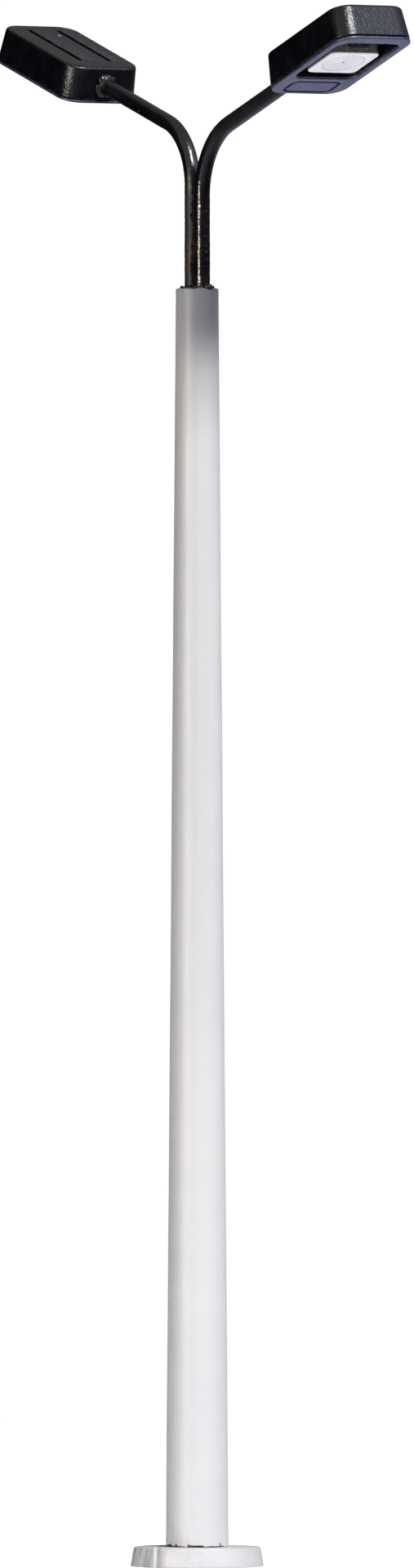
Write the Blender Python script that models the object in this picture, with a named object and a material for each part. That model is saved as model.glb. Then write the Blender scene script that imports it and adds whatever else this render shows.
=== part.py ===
"""Twin-arm model street lamp for a model railway, with one LED head on each arm.

The mast stands on a round foot. Two lacquered tubes rise side by side out of the
mast, part in a fork, and each carries a flat lamp head that tilts upward.
+X points along the longer arm, +Z is up, and the origin is the middle of the
underside of the foot.
"""

import math

import bmesh
import bpy
from mathutils import Matrix, Vector

MM = 0.001
GAP = 0.02 * MM
CUT_PAST = 1.0 * MM

# Foot
FOOT_RADIUS = 4.12 * MM
FOOT_TOP_RADIUS = 3.93 * MM
FOOT_HEIGHT = 1.21 * MM
FOOT_EDGE = 0.10 * MM
SOCKET_RADIUS = 1.52 * MM
SOCKET_FLOOR = 0.45 * MM
OUTLET_RADIUS = 0.80 * MM

# Mast
MAST_BOTTOM_RADIUS = 1.945 * MM
MAST_TOP_RADIUS = 1.32 * MM
MAST_TOP = 79.05 * MM
MAST_BORE = 1.09 * MM
MAST_CHAMFER = 0.10 * MM
SPIGOT_LENGTH = 0.70 * MM

# Arms
TUBE_RADIUS = 0.50 * MM
TUBE_BORE = 0.33 * MM
TUBE_OFFSET = 0.565 * MM
TUBE_BOTTOM = 71.0 * MM
TUBE_IN_HEAD = 1.55 * MM
HEAD_TILT = math.radians(18.65)
ARMS = {
    "right": {
        "side": 1,
        "reach": 16.45 * MM,
        "height": 93.24 * MM,
        "bend": 4.62 * MM,
        "entry": 0.10 * MM,
    },
    "left": {
        "side": -1,
        "reach": 15.45 * MM,
        "height": 93.44 * MM,
        "bend": 4.25 * MM,
        "entry": 0.00 * MM,
    },
}

# Solder between the two tubes
WEB_HALF_DEPTH = 0.27 * MM
WEB_BOTTOM = 77.0 * MM
WEB_TOP = 85.3 * MM
SEAL_DEPTH = 0.90 * MM

# Lamp head: length runs along the arm, its own Z is square to the flat top
HEAD_LENGTH = 9.62 * MM
HEAD_WIDTH = 5.42 * MM
HEAD_THICKNESS = 2.30 * MM
HEAD_CORNER = 1.18 * MM
HEAD_DRAFT_LENGTH = 0.38 * MM
HEAD_DRAFT_WIDTH = 0.24 * MM
HEAD_EDGE = 0.17 * MM

FRAME_THICKNESS = 0.16 * MM
FRAME_SEAM = 0.05 * MM
FRAME_INSET = 0.03 * MM
FRAME_EDGE = 0.05 * MM

RECESS_LENGTH = 5.80 * MM
RECESS_WIDTH = 4.46 * MM
RECESS_CENTRE = 0.68 * MM
RECESS_DEPTH = 1.20 * MM
RECESS_CORNER = 0.80 * MM

SLOT_LENGTH = 6.84 * MM
SLOT_WIDTH = 0.24 * MM
SLOT_DEPTH = 0.30 * MM
SLOT_CORNER = 0.10 * MM
SLOT_CENTRE = 0.27 * MM
SLOT_SPACING = 2.12 * MM

COVER_LENGTH = 1.59 * MM
COVER_WIDTH = 3.24 * MM
COVER_THICKNESS = 0.30 * MM
COVER_CENTRE = -3.575 * MM
COVER_CORNER = 0.40 * MM
COVER_GROOVE = 0.13 * MM
COVER_EDGE = 0.05 * MM

CHANNEL_WIDTH = 0.72 * MM
CHANNEL_DEPTH = 0.20 * MM
CHANNEL_CORNER = 0.10 * MM
CHANNEL_OVERLAP = 0.20 * MM

COLLAR_LENGTH = 0.55 * MM
COLLAR_FOOT = 0.92 * MM
COLLAR_LIP = 0.60 * MM
COLLAR_SHOULDER = 0.86 * MM
COLLAR_SHOULDER_HEIGHT = 0.165 * MM
COLLAR_NECK = 0.67 * MM
COLLAR_NECK_HEIGHT = 0.385 * MM

# Light source
BOARD_CLEARANCE = 0.06 * MM
BOARD_THICKNESS = 0.30 * MM
CHIP_LENGTH = 3.34 * MM
CHIP_WIDTH = 3.50 * MM
CHIP_HEIGHT = 0.66 * MM
CHIP_OFFSET = 0.22 * MM
CHIP_CORNER = 0.45 * MM
CHIP_EDGE = 0.05 * MM
WELL_RADIUS = 1.35 * MM
WELL_DEPTH = 0.30 * MM
LEAD_LENGTH = 0.26 * MM
LEAD_WIDTH = 1.80 * MM
LEAD_HEIGHT = 0.40 * MM
LEAD_TAPER = 0.80
LEAD_CORNER = 0.05 * MM
JOINT_RADIUS = 0.17 * MM
JOINT_HEIGHT = 0.22 * MM
JOINT_SPREAD = 1.45 * MM
JOINT_INSET = 0.27 * MM

# Enamelled feed wires
WIRE_RADIUS = 0.055 * MM
WIRE_SPACING = 0.14 * MM
WIRE_END = 0.30 * MM
WIRE_LANE = 0.16 * MM
WIRE_FOOT_OFFSET = 0.30 * MM
WIRE_TURN = 0.11 * MM
WIRE_IN_TUBE_END = 0.44 * MM
WIRE_FREE_OF_BEND = 1.10 * MM
WIRE_GATHERING = 3.0 * MM

# Facets
SHARP_ANGLE = math.radians(35)
DOME_SIDES = 12
DOME_RINGS = 3
TUBE_SIDES = 20
TURNED_SIDES = 40
WIRE_SIDES = 6
CORNER_STEPS = 6
EDGE_STEPS = 3
BEND_STEPS = 14

# Heights inside a lamp head, on the head's own Z
HEAD_UNDERSIDE = -HEAD_THICKNESS / 2
RECESS_CEILING = HEAD_UNDERSIDE + RECESS_DEPTH
RECESS_INNER_WALL = RECESS_CENTRE - RECESS_LENGTH / 2
BOARD_UNDERSIDE = RECESS_CEILING - GAP - BOARD_THICKNESS
CHIP_FACE = BOARD_UNDERSIDE - GAP - CHIP_HEIGHT


def clear_scene():
    for item in list(bpy.data.objects):
        bpy.data.objects.remove(item, do_unlink=True)


def material(name, colour, roughness, metallic=0.0):
    made = bpy.data.materials.new(name)
    made.use_nodes = True
    shader = made.node_tree.nodes["Principled BSDF"]
    shader.inputs["Base Color"].default_value = (*colour, 1.0)
    shader.inputs["Roughness"].default_value = roughness
    shader.inputs["Metallic"].default_value = metallic
    return made


def add_object(name, mesh_builder, finish, parent=None):
    """Turn a bmesh into a named object with its own material."""
    mesh = bpy.data.meshes.new(name)
    bmesh.ops.recalc_face_normals(mesh_builder, faces=mesh_builder.faces)
    mesh_builder.to_mesh(mesh)
    mesh_builder.free()
    mesh.shade_smooth()
    mesh.set_sharp_from_angle(angle=SHARP_ANGLE)
    mesh.materials.append(finish)
    made = bpy.data.objects.new(name, mesh)
    bpy.context.scene.collection.objects.link(made)
    made.parent = parent
    return made


def cutter(name, mesh_builder, target, parent=None):
    """A hidden tool shape that is taken out of its target."""
    tool = add_object(name, mesh_builder, target.data.materials[0], parent)
    tool.hide_render = True
    tool.display_type = "WIRE"
    cut = target.modifiers.new(name, "BOOLEAN")
    cut.operation = "DIFFERENCE"
    cut.solver = "EXACT"
    cut.object = tool
    return tool


def rounded_outline(length, width, corner):
    """Corner points of a rounded rectangle, anticlockwise from the +X side."""
    points = []
    for quarter, (along, across) in enumerate(((1, 1), (-1, 1), (-1, -1), (1, -1))):
        centre = Vector((along * (length / 2 - corner), across * (width / 2 - corner)))
        for step in range(CORNER_STEPS + 1):
            angle = math.radians(90) * (quarter + step / CORNER_STEPS)
            points.append(centre + corner * Vector((math.cos(angle), math.sin(angle))))
    return points


def stacked(levels):
    """A closed body through outlines at rising heights: [(outline, z), ...]."""
    shape = bmesh.new()
    rings = [[shape.verts.new((x, y, z)) for x, y in outline] for outline, z in levels]
    for lower, upper in zip(rings, rings[1:]):
        for index in range(len(lower)):
            following = (index + 1) % len(lower)
            shape.faces.new((lower[index], lower[following], upper[following], upper[index]))
    shape.faces.new(reversed(rings[0]))
    shape.faces.new(rings[-1])
    return shape


def moved(shape, offset):
    bmesh.ops.translate(shape, verts=shape.verts, vec=offset)
    return shape


def eased_profile(low, high, low_edge, high_edge):
    """Heights and insets of a wall whose lower and upper edges are rounded off."""
    quarter = [math.radians(90) * step / EDGE_STEPS for step in range(EDGE_STEPS + 1)]
    lower = [(low + low_edge * (1 - math.cos(a)), low_edge * (1 - math.sin(a))) for a in quarter]
    upper = [(high - high_edge * (1 - math.cos(a)), high_edge * (1 - math.sin(a))) for a in quarter]
    return lower + upper[::-1]


def rounded_block(length, width, corner, low, high, edge=0.0):
    """A rounded plate between two heights, with its edges rounded off if asked."""
    if not edge:
        full = rounded_outline(length, width, corner)
        return stacked([(full, low), (full, high)])
    levels = []
    for height, inset in eased_profile(low, high, edge, edge):
        outline = rounded_outline(length - 2 * inset, width - 2 * inset, corner - inset)
        levels.append((outline, height))
    return stacked(levels)


def turned(profile, sides=TURNED_SIDES):
    """Spin a closed outline of (radius, height) points about Z."""
    shape = bmesh.new()
    corners = [shape.verts.new((radius, 0, height)) for radius, height in profile]
    edges = [shape.edges.new((a, b)) for a, b in zip(corners, corners[1:] + corners[:1])]
    bmesh.ops.spin(
        shape,
        geom=corners + edges,
        axis=(0, 0, 1),
        cent=(0, 0, 0),
        angle=math.tau,
        steps=sides,
        use_merge=True,
        use_duplicate=False,
    )
    return shape


def rod(radius, start, end, sides=TUBE_SIDES):
    """A solid round bar between two points."""
    return swept([start, end], radius, sides=sides)


def swept(points, radius, bore=0.0, sides=TUBE_SIDES):
    """A round bar, or a tube when it has a bore, along a run of points."""
    points = [Vector(point) for point in points]
    shape = bmesh.new()
    tangents = []
    for index, point in enumerate(points):
        ahead = points[min(index + 1, len(points) - 1)]
        behind = points[max(index - 1, 0)]
        tangents.append((ahead - behind).normalized())
    across = tangents[0].orthogonal().normalized()
    outer, inner = [], []
    for index, (point, tangent) in enumerate(zip(points, tangents)):
        if index:
            across = tangents[index - 1].rotation_difference(tangent) @ across
        aside = tangent.cross(across)
        for rings, reach in ((outer, radius), (inner, bore)):
            if reach:
                angles = [math.tau * side / sides for side in range(sides)]
                rings.append(
                    [
                        shape.verts.new(point + reach * (math.cos(a) * across + math.sin(a) * aside))
                        for a in angles
                    ]
                )
    for rings in (outer, inner):
        for first, second in zip(rings, rings[1:]):
            for side in range(sides):
                beside = (side + 1) % sides
                shape.faces.new((first[side], first[beside], second[beside], second[side]))
    for end in (0, -1):
        if bore:
            for side in range(sides):
                beside = (side + 1) % sides
                shape.faces.new((outer[end][side], outer[end][beside], inner[end][beside], inner[end][side]))
        else:
            shape.faces.new(outer[end])
    return shape


def dome(radius, height, centre):
    """A low solder dome, standing on its flat side and pointing down -Z."""
    outline = []
    around = [math.tau * side / DOME_SIDES for side in range(DOME_SIDES)]
    for ring in range(DOME_RINGS):
        angle = math.radians(90) * ring / DOME_RINGS
        reach = radius * math.cos(angle)
        circle = [Vector((reach * math.cos(a), reach * math.sin(a))) for a in around]
        outline.append((circle, -height * math.sin(angle)))
    return moved(stacked(list(reversed(outline))), centre)


def arm_angle():
    """How far a tube turns between the upright and the head."""
    return math.radians(90) - HEAD_TILT


def bend_start(arm):
    """Height where the upright tube starts to bend, so that it ends in line with the head."""
    turn = arm_angle()
    line_x = arm["reach"] - arm["entry"] * math.sin(HEAD_TILT)
    line_z = arm["height"] + arm["entry"] * math.cos(HEAD_TILT)
    bend_end_x = TUBE_OFFSET + arm["bend"] * (1 - math.cos(turn))
    bend_end_z = line_z + (bend_end_x - line_x) * math.tan(HEAD_TILT)
    return bend_end_z - arm["bend"] * math.sin(turn)


def arm_route(arm, bottom, stop, sideways=0.0):
    """Centre line of one tube, from inside the mast to `stop` on the head's own X axis."""
    start = bend_start(arm)
    side = arm["side"]
    route = [Vector((side * TUBE_OFFSET, sideways, bottom))]
    for step in range(BEND_STEPS + 1):
        angle = arm_angle() * step / BEND_STEPS
        x = TUBE_OFFSET + arm["bend"] * (1 - math.cos(angle))
        z = start + arm["bend"] * math.sin(angle)
        route.append(Vector((side * x, sideways, z)))
    x = arm["reach"] - arm["entry"] * math.sin(HEAD_TILT) + stop * math.cos(HEAD_TILT)
    z = arm["height"] + arm["entry"] * math.cos(HEAD_TILT) + stop * math.sin(HEAD_TILT)
    route.append(Vector((side * x, sideways, z)))
    return route


def head_placement(arm):
    """World matrix of a lamp head: own X outward along the arm, own Z off its flat top."""
    facing = Matrix.Rotation(0 if arm["side"] > 0 else math.pi, 4, "Z")
    tilt = Matrix.Rotation(-HEAD_TILT, 4, "Y")
    place = Matrix.Translation((arm["side"] * arm["reach"], 0, arm["height"]))
    return place @ facing @ tilt


def make_foot(finish):
    profile = [
        (OUTLET_RADIUS, 0),
        (FOOT_RADIUS - FOOT_EDGE, 0),
        (FOOT_RADIUS, FOOT_EDGE),
        (FOOT_TOP_RADIUS, FOOT_HEIGHT - FOOT_EDGE),
        (FOOT_TOP_RADIUS - FOOT_EDGE, FOOT_HEIGHT),
        (SOCKET_RADIUS, FOOT_HEIGHT),
        (SOCKET_RADIUS, SOCKET_FLOOR),
        (OUTLET_RADIUS, SOCKET_FLOOR),
    ]
    add_object("foot_disc", turned(profile), finish)


def make_mast(finish):
    """A tapered tube with a turned spigot that sits in the foot's socket."""
    shoulder = FOOT_HEIGHT + GAP
    spigot = SOCKET_RADIUS - GAP
    profile = [
        (MAST_BORE, shoulder - SPIGOT_LENGTH),
        (spigot, shoulder - SPIGOT_LENGTH),
        (spigot, shoulder),
        (MAST_BOTTOM_RADIUS, shoulder),
        (MAST_TOP_RADIUS, MAST_TOP - MAST_CHAMFER),
        (MAST_TOP_RADIUS - MAST_CHAMFER, MAST_TOP),
        (MAST_BORE, MAST_TOP),
    ]
    add_object("mast", turned(profile), finish)


def make_arms(finish):
    inner_end = -HEAD_LENGTH / 2
    for side, arm in ARMS.items():
        route = arm_route(arm, TUBE_BOTTOM, inner_end + TUBE_IN_HEAD)
        add_object(f"arm_tube_{side}", swept(route, TUBE_RADIUS, TUBE_BORE), finish)


def make_web(finish):
    """Solder that fills the narrow gap and both grooves between the tubes."""
    clear = TUBE_RADIUS + GAP
    reach = math.asin(WEB_HALF_DEPTH / clear)
    outline = []
    for side in (1, -1):
        for step in range(CORNER_STEPS + 1):
            angle = reach * (2 * step / CORNER_STEPS - 1)
            x = side * (TUBE_OFFSET - clear * math.cos(angle))
            outline.append(Vector((x, side * clear * math.sin(angle))))
    add_object("stem_solder_web", stacked([(outline, WEB_BOTTOM), (outline, WEB_TOP)]), finish)


def make_seals(finish):
    """Solder that closes the mouth of the mast in front of the tubes and behind them."""
    radius = MAST_BORE - GAP
    low = MAST_TOP - SEAL_DEPTH
    keep_clear = WEB_HALF_DEPTH + GAP
    opening = math.asin(keep_clear / radius)
    for name, facing in (("front", -1), ("rear", 1)):
        outline = []
        steps = 2 * CORNER_STEPS
        for step in range(steps + 1):
            angle = opening + (math.pi - 2 * opening) * step / steps
            outline.append(Vector((radius * math.cos(angle), facing * radius * math.sin(angle))))
        seal = add_object(f"mast_mouth_seal_{name}", stacked([(outline, low), (outline, MAST_TOP)]), finish)
        for side in ARMS:
            x = ARMS[side]["side"] * TUBE_OFFSET
            bar = rod(TUBE_RADIUS + GAP, (x, 0, low - CUT_PAST), (x, 0, MAST_TOP + CUT_PAST))
            cutter(f"tube_clearance_{name}_{side}", bar, seal)


def light_recess():
    """The room for the LED, open downward."""
    below = HEAD_UNDERSIDE - CUT_PAST
    recess = rounded_block(RECESS_LENGTH, RECESS_WIDTH, RECESS_CORNER, below, RECESS_CEILING)
    return moved(recess, (RECESS_CENTRE, 0, 0))


def cover_pocket():
    """The pocket for the gear-tray cover, with a groove's width to spare all round."""
    pocket = rounded_block(
        COVER_LENGTH + 2 * COVER_GROOVE,
        COVER_WIDTH + 2 * COVER_GROOVE,
        COVER_CORNER + COVER_GROOVE,
        HEAD_UNDERSIDE - CUT_PAST,
        HEAD_UNDERSIDE + COVER_THICKNESS + GAP,
    )
    return moved(pocket, (COVER_CENTRE, 0, 0))


def make_housing(side, arm, finish, frame):
    """Moulded head shell: light recess and cover pocket below, two cooling slots on top."""
    low = HEAD_UNDERSIDE + FRAME_THICKNESS + FRAME_SEAM
    high = HEAD_UNDERSIDE + HEAD_THICKNESS
    levels = []
    for height, inset in eased_profile(low, high, FRAME_EDGE, HEAD_EDGE):
        share = (height - HEAD_UNDERSIDE) / HEAD_THICKNESS
        length = HEAD_LENGTH - share * HEAD_DRAFT_LENGTH - 2 * inset
        width = HEAD_WIDTH - share * HEAD_DRAFT_WIDTH - 2 * inset
        levels.append((rounded_outline(length, width, HEAD_CORNER - inset), height))
    housing = add_object(f"head_housing_{side}", stacked(levels), finish, frame)

    cutter(f"recess_cutter_{side}", light_recess(), housing, frame)
    cutter(f"cover_pocket_cutter_{side}", cover_pocket(), housing, frame)

    for number, across in enumerate((-SLOT_SPACING / 2, SLOT_SPACING / 2), start=1):
        slot = rounded_block(SLOT_LENGTH, SLOT_WIDTH, SLOT_CORNER, high - SLOT_DEPTH, high + CUT_PAST)
        cutter(f"slot_cutter_{number}_{side}", moved(slot, (SLOT_CENTRE, across, 0)), housing, frame)

    axis = arm["entry"]
    inner_end = -HEAD_LENGTH / 2
    socket_end = inner_end + TUBE_IN_HEAD + 2 * GAP
    socket = rod(TUBE_RADIUS + GAP, (inner_end - CUT_PAST, 0, axis), (socket_end, 0, axis))
    cutter(f"tube_socket_cutter_{side}", socket, housing, frame)

    channel_start = socket_end - CHANNEL_OVERLAP
    channel_length = RECESS_INNER_WALL + CHANNEL_OVERLAP - channel_start
    channel_floor = BOARD_UNDERSIDE - CHANNEL_DEPTH
    channel_roof = RECESS_CEILING - GAP
    channel = rounded_block(channel_length, CHANNEL_WIDTH, CHANNEL_CORNER, channel_floor, channel_roof)
    middle = channel_start + channel_length / 2
    cutter(f"wire_channel_cutter_{side}", moved(channel, (middle, 0, 0)), housing, frame)


def make_light_frame(side, finish, frame):
    """Thin plate under the shell that borders the light recess and the cover."""
    plate = rounded_block(
        HEAD_LENGTH - 2 * FRAME_INSET,
        HEAD_WIDTH - 2 * FRAME_INSET,
        HEAD_CORNER - FRAME_INSET,
        HEAD_UNDERSIDE,
        HEAD_UNDERSIDE + FRAME_THICKNESS,
        FRAME_EDGE,
    )
    border = add_object(f"light_frame_{side}", plate, finish, frame)
    cutter(f"frame_recess_cutter_{side}", light_recess(), border, frame)
    cutter(f"frame_pocket_cutter_{side}", cover_pocket(), border, frame)


def make_cover(side, finish, frame):
    """Push-in plate that closes the pocket beside the arm."""
    high = HEAD_UNDERSIDE + COVER_THICKNESS
    plate = rounded_block(COVER_LENGTH, COVER_WIDTH, COVER_CORNER, HEAD_UNDERSIDE, high, COVER_EDGE)
    add_object(f"gear_tray_cover_{side}", moved(plate, (COVER_CENTRE, 0, 0)), finish, frame)


def make_collar(side, arm, finish, frame):
    """Glue fillet round the tube where it enters the head."""
    inner = TUBE_RADIUS + GAP
    profile = [
        (inner, 0),
        (COLLAR_FOOT, 0),
        (COLLAR_SHOULDER, COLLAR_SHOULDER_HEIGHT),
        (COLLAR_NECK, COLLAR_NECK_HEIGHT),
        (COLLAR_LIP, COLLAR_LENGTH),
        (inner, COLLAR_LENGTH),
    ]
    collar = add_object(f"arm_glue_collar_{side}", turned(profile, TUBE_SIDES), finish, frame)
    collar.rotation_euler = (0, math.radians(-90), 0)
    collar.location = (-HEAD_LENGTH / 2 - GAP, 0, arm["entry"])


def make_light(side, finishes, frame):
    """Circuit board, LED package, its gel and leads, and the two wire joints."""
    board = rounded_block(
        RECESS_LENGTH - 2 * BOARD_CLEARANCE,
        RECESS_WIDTH - 2 * BOARD_CLEARANCE,
        RECESS_CORNER,
        BOARD_UNDERSIDE,
        BOARD_UNDERSIDE + BOARD_THICKNESS,
    )
    add_object(f"led_board_{side}", moved(board, (RECESS_CENTRE, 0, 0)), finishes["board"], frame)

    top = CHIP_FACE + CHIP_HEIGHT
    chip_shape = rounded_block(CHIP_LENGTH, CHIP_WIDTH, CHIP_CORNER, CHIP_FACE, top, CHIP_EDGE)
    chip = add_object(f"led_package_{side}", moved(chip_shape, (0, CHIP_OFFSET, 0)), finishes["chip"], frame)
    well_top = CHIP_FACE + WELL_DEPTH
    middle = (0, CHIP_OFFSET, 0)
    well = rod(WELL_RADIUS, (0, 0, CHIP_FACE - CUT_PAST), (0, 0, well_top), TURNED_SIDES)
    cutter(f"well_cutter_{side}", moved(well, middle), chip, frame)

    gel_gap = 0.5 * GAP
    gel = rod(WELL_RADIUS - gel_gap, (0, 0, CHIP_FACE + GAP), (0, 0, well_top - gel_gap), TURNED_SIDES)
    add_object(f"led_gel_{side}", moved(gel, middle), finishes["gel"], frame)

    narrow = rounded_outline(LEAD_LENGTH * LEAD_TAPER, LEAD_WIDTH * LEAD_TAPER, LEAD_CORNER)
    wide = rounded_outline(LEAD_LENGTH, LEAD_WIDTH, LEAD_CORNER)
    for name, along in (("inner", -1), ("outer", 1)):
        near = CHIP_LENGTH / 2 + GAP
        lead = stacked([(narrow, BOARD_UNDERSIDE - LEAD_HEIGHT), (wide, BOARD_UNDERSIDE - GAP)])
        lead = moved(lead, (along * (near + LEAD_LENGTH / 2), CHIP_OFFSET, 0))
        add_object(f"led_lead_{name}_{side}", lead, finishes["tin"], frame)

    for name, across in (("plus", 1), ("minus", -1)):
        centre = (RECESS_INNER_WALL + JOINT_INSET, across * JOINT_SPREAD, BOARD_UNDERSIDE - GAP)
        joint = dome(JOINT_RADIUS, JOINT_HEIGHT, centre)
        add_object(f"wire_joint_{name}_{side}", joint, finishes["tin"], frame)


def make_wires(side, arm, placement, finishes):
    """Two enamelled wires from the board, down the tube and the mast, to the foot's outlet."""
    level = BOARD_UNDERSIDE - WIRE_RADIUS - 2 * GAP
    tube_end = -HEAD_LENGTH / 2 + TUBE_IN_HEAD
    lane = RECESS_INNER_WALL + WIRE_LANE
    for name, across in (("plus", 1), ("minus", -1)):
        inside = across * WIRE_SPACING
        in_head = [
            Vector((tube_end - WIRE_IN_TUBE_END, inside, arm["entry"])),
            Vector((tube_end, inside, arm["entry"])),
            Vector((RECESS_INNER_WALL - 2 * WIRE_TURN, inside, level)),
            Vector((lane - WIRE_TURN, inside + across * WIRE_TURN / 2, level)),
            Vector((lane, inside + across * 2 * WIRE_TURN, level)),
            Vector((lane, across * (JOINT_SPREAD - JOINT_RADIUS - GAP), level)),
        ]
        sideways = arm["side"] * inside
        upright = arm_route(arm, TUBE_BOTTOM, tube_end - WIRE_FREE_OF_BEND, sideways)
        foot_x = arm["side"] * WIRE_FOOT_OFFSET
        drop = [
            Vector((foot_x, sideways, WIRE_END)),
            Vector((foot_x, sideways, FOOT_HEIGHT)),
            Vector((arm["side"] * TUBE_OFFSET, sideways, TUBE_BOTTOM - WIRE_GATHERING)),
        ]
        route = drop + upright + [placement @ point for point in in_head]
        wire = swept(route, WIRE_RADIUS, sides=WIRE_SIDES)
        add_object(f"feed_wire_{name}_{side}", wire, finishes[name])


def build():
    clear_scene()
    white = material("white_mast_paint", (0.78, 0.77, 0.74), 0.42)
    foot_white = material("white_foot_paint", (0.80, 0.79, 0.77), 0.50)
    lacquer = material("black_tube_lacquer", (0.018, 0.015, 0.016), 0.22)
    solder = material("lacquered_solder", (0.030, 0.025, 0.024), 0.30)
    housing = material("dark_head_plastic", (0.045, 0.048, 0.055), 0.55)
    slate = material("slate_frame_plastic", (0.060, 0.064, 0.075), 0.45)
    cover = material("dark_cover_plastic", (0.050, 0.050, 0.062), 0.50)
    glue = material("black_glue", (0.020, 0.020, 0.022), 0.18)
    light = {
        "board": material("black_circuit_board", (0.020, 0.022, 0.022), 0.45),
        "chip": material("led_white_moulding", (0.72, 0.72, 0.70), 0.40),
        "gel": material("led_milky_gel", (0.82, 0.79, 0.74), 0.20),
        "tin": material("bright_tin", (0.70, 0.70, 0.68), 0.30, 1.0),
    }
    wire = {
        "plus": material("red_wire_enamel", (0.30, 0.05, 0.03), 0.35, 0.6),
        "minus": material("copper_wire_enamel", (0.45, 0.20, 0.08), 0.35, 0.8),
    }

    make_foot(foot_white)
    make_mast(white)
    make_arms(lacquer)
    make_web(solder)
    make_seals(solder)
    for side, arm in ARMS.items():
        frame = bpy.data.objects.new(f"head_frame_{side}", None)
        bpy.context.scene.collection.objects.link(frame)
        placement = head_placement(arm)
        frame.matrix_world = placement
        make_housing(side, arm, housing, frame)
        make_light_frame(side, slate, frame)
        make_cover(side, cover, frame)
        make_collar(side, arm, glue, frame)
        make_light(side, light, frame)
        make_wires(side, arm, placement, wire)


build()
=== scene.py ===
import math

import bmesh
import bpy
from mathutils import Matrix, Vector, noise


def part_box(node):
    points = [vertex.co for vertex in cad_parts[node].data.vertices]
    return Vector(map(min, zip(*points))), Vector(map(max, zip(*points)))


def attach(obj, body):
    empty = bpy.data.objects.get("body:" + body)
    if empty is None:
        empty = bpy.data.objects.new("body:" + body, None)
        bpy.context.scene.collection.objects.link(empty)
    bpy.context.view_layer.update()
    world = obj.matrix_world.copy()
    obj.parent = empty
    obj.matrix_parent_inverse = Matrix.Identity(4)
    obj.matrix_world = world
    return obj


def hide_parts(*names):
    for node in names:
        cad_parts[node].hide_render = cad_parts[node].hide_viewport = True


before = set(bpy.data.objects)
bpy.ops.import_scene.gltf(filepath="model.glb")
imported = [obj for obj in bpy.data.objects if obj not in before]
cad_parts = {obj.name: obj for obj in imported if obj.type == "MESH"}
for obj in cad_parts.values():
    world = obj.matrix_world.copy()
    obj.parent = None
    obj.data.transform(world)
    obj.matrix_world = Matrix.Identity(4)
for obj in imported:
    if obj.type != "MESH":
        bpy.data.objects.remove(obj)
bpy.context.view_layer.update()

# ---------------------------------------------------------------------------
# Foot
# A flat turned disc, sprayed white together with the mast. It has a socket for
# the mast's spigot, a wire outlet below, and one upright witness line on its rim.
# ---------------------------------------------------------------------------
MM = 0.001
RIM_STEPS = 6
SHARP_FROM = math.radians(42)
VIEW_TURN = math.radians(58.5)
ACROSS_FRONT = (math.cos(VIEW_TURN), math.sin(VIEW_TURN), 0)

foot_low, foot_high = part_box("foot_disc")
mast_low, mast_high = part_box("mast")
FOOT_RADIUS = foot_high.x
FOOT_TOP_RADIUS = FOOT_RADIUS - 0.19 * MM
FOOT_TOP = foot_high.z
FOOT_EDGE = 0.10 * MM
FOOT_TOP_EDGE = 0.13 * MM
RIM_LEAN = 0.06 * MM
FOOT_SIDES = 180
FOOT_WAVINESS = 0.030 * MM
SOCKET_RADIUS = 1.52 * MM
SOCKET_FLOOR = 0.45 * MM
OUTLET_RADIUS = 0.80 * MM
WITNESS_LINES = (
    (math.radians(-70.5), 0.055 * MM, math.radians(1.6)),
    (math.radians(-60.0), -0.035 * MM, math.radians(2.4)),
    (math.radians(112.0), 0.040 * MM, math.radians(1.8)),
)


def new_object(name, shape, finish=None):
    """Put a bmesh into the scene as an object, with its faces turned outward."""
    mesh = bpy.data.meshes.new(name)
    bmesh.ops.recalc_face_normals(shape, faces=shape.faces)
    shape.to_mesh(mesh)
    shape.free()
    if finish:
        mesh.materials.append(finish)
    made = bpy.data.objects.new(name, mesh)
    bpy.context.scene.collection.objects.link(made)
    return made


def keep_faces_even(piece):
    """Shade large flat faces evenly right up to their rounded edges."""
    shading = piece.modifiers.new("even_shading", "WEIGHTED_NORMAL")
    shading.keep_sharp = True


def finished_piece(name, shape, finish, nodes, place=None, flat_faces=False):
    """Make a piece of the lamp from a bmesh; it stands for the CAD nodes in the list."""
    piece = new_object(name, shape, finish)
    piece.data.shade_smooth()
    piece.data.set_sharp_from_angle(angle=SHARP_FROM)
    if place is not None:
        piece.matrix_world = place
    if flat_faces:
        keep_faces_even(piece)
    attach(piece, "root")
    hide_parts(*nodes)
    return piece


def rounded_corner(first, corner, last, steps=RIM_STEPS):
    """Points that round off one corner of an outline, from first to last."""
    first, corner, last = Vector(first), Vector(corner), Vector(last)
    points = []
    for step in range(steps + 1):
        share = step / steps
        point = (1 - share) ** 2 * first + 2 * share * (1 - share) * corner + share**2 * last
        points.append(tuple(point))
    return points


def turned(outline, sides, disturb=None):
    """Spin a closed outline of (radius, height) points about Z, disturbed where asked."""
    shape = bmesh.new()
    rings = []
    for radius, height in outline:
        ring = []
        for side in range(sides):
            angle = math.tau * side / sides
            reach, level = (radius, height) if disturb is None else disturb(radius, angle, height)
            ring.append(shape.verts.new((reach * math.cos(angle), reach * math.sin(angle), level)))
        rings.append(ring)
    for first, second in zip(rings, rings[1:] + rings[:1]):
        bridge(shape, first, second)
    return shape


def bridge(shape, first, second):
    """Faces between two closed rings of the same number of points."""
    count = len(first)
    for index in range(count):
        beside = (index + 1) % count
        shape.faces.new((first[index], first[beside], second[beside], second[index]))


def wave(angle, turns, seed, height=0.0, rise=1.0):
    """A smooth random value from -1 to 1 that closes on itself round a turned piece."""
    spot = Vector((turns * math.cos(angle), turns * math.sin(angle), height / rise))
    return noise.noise(spot + Vector((seed, 2 * seed, 3 * seed)))


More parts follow.
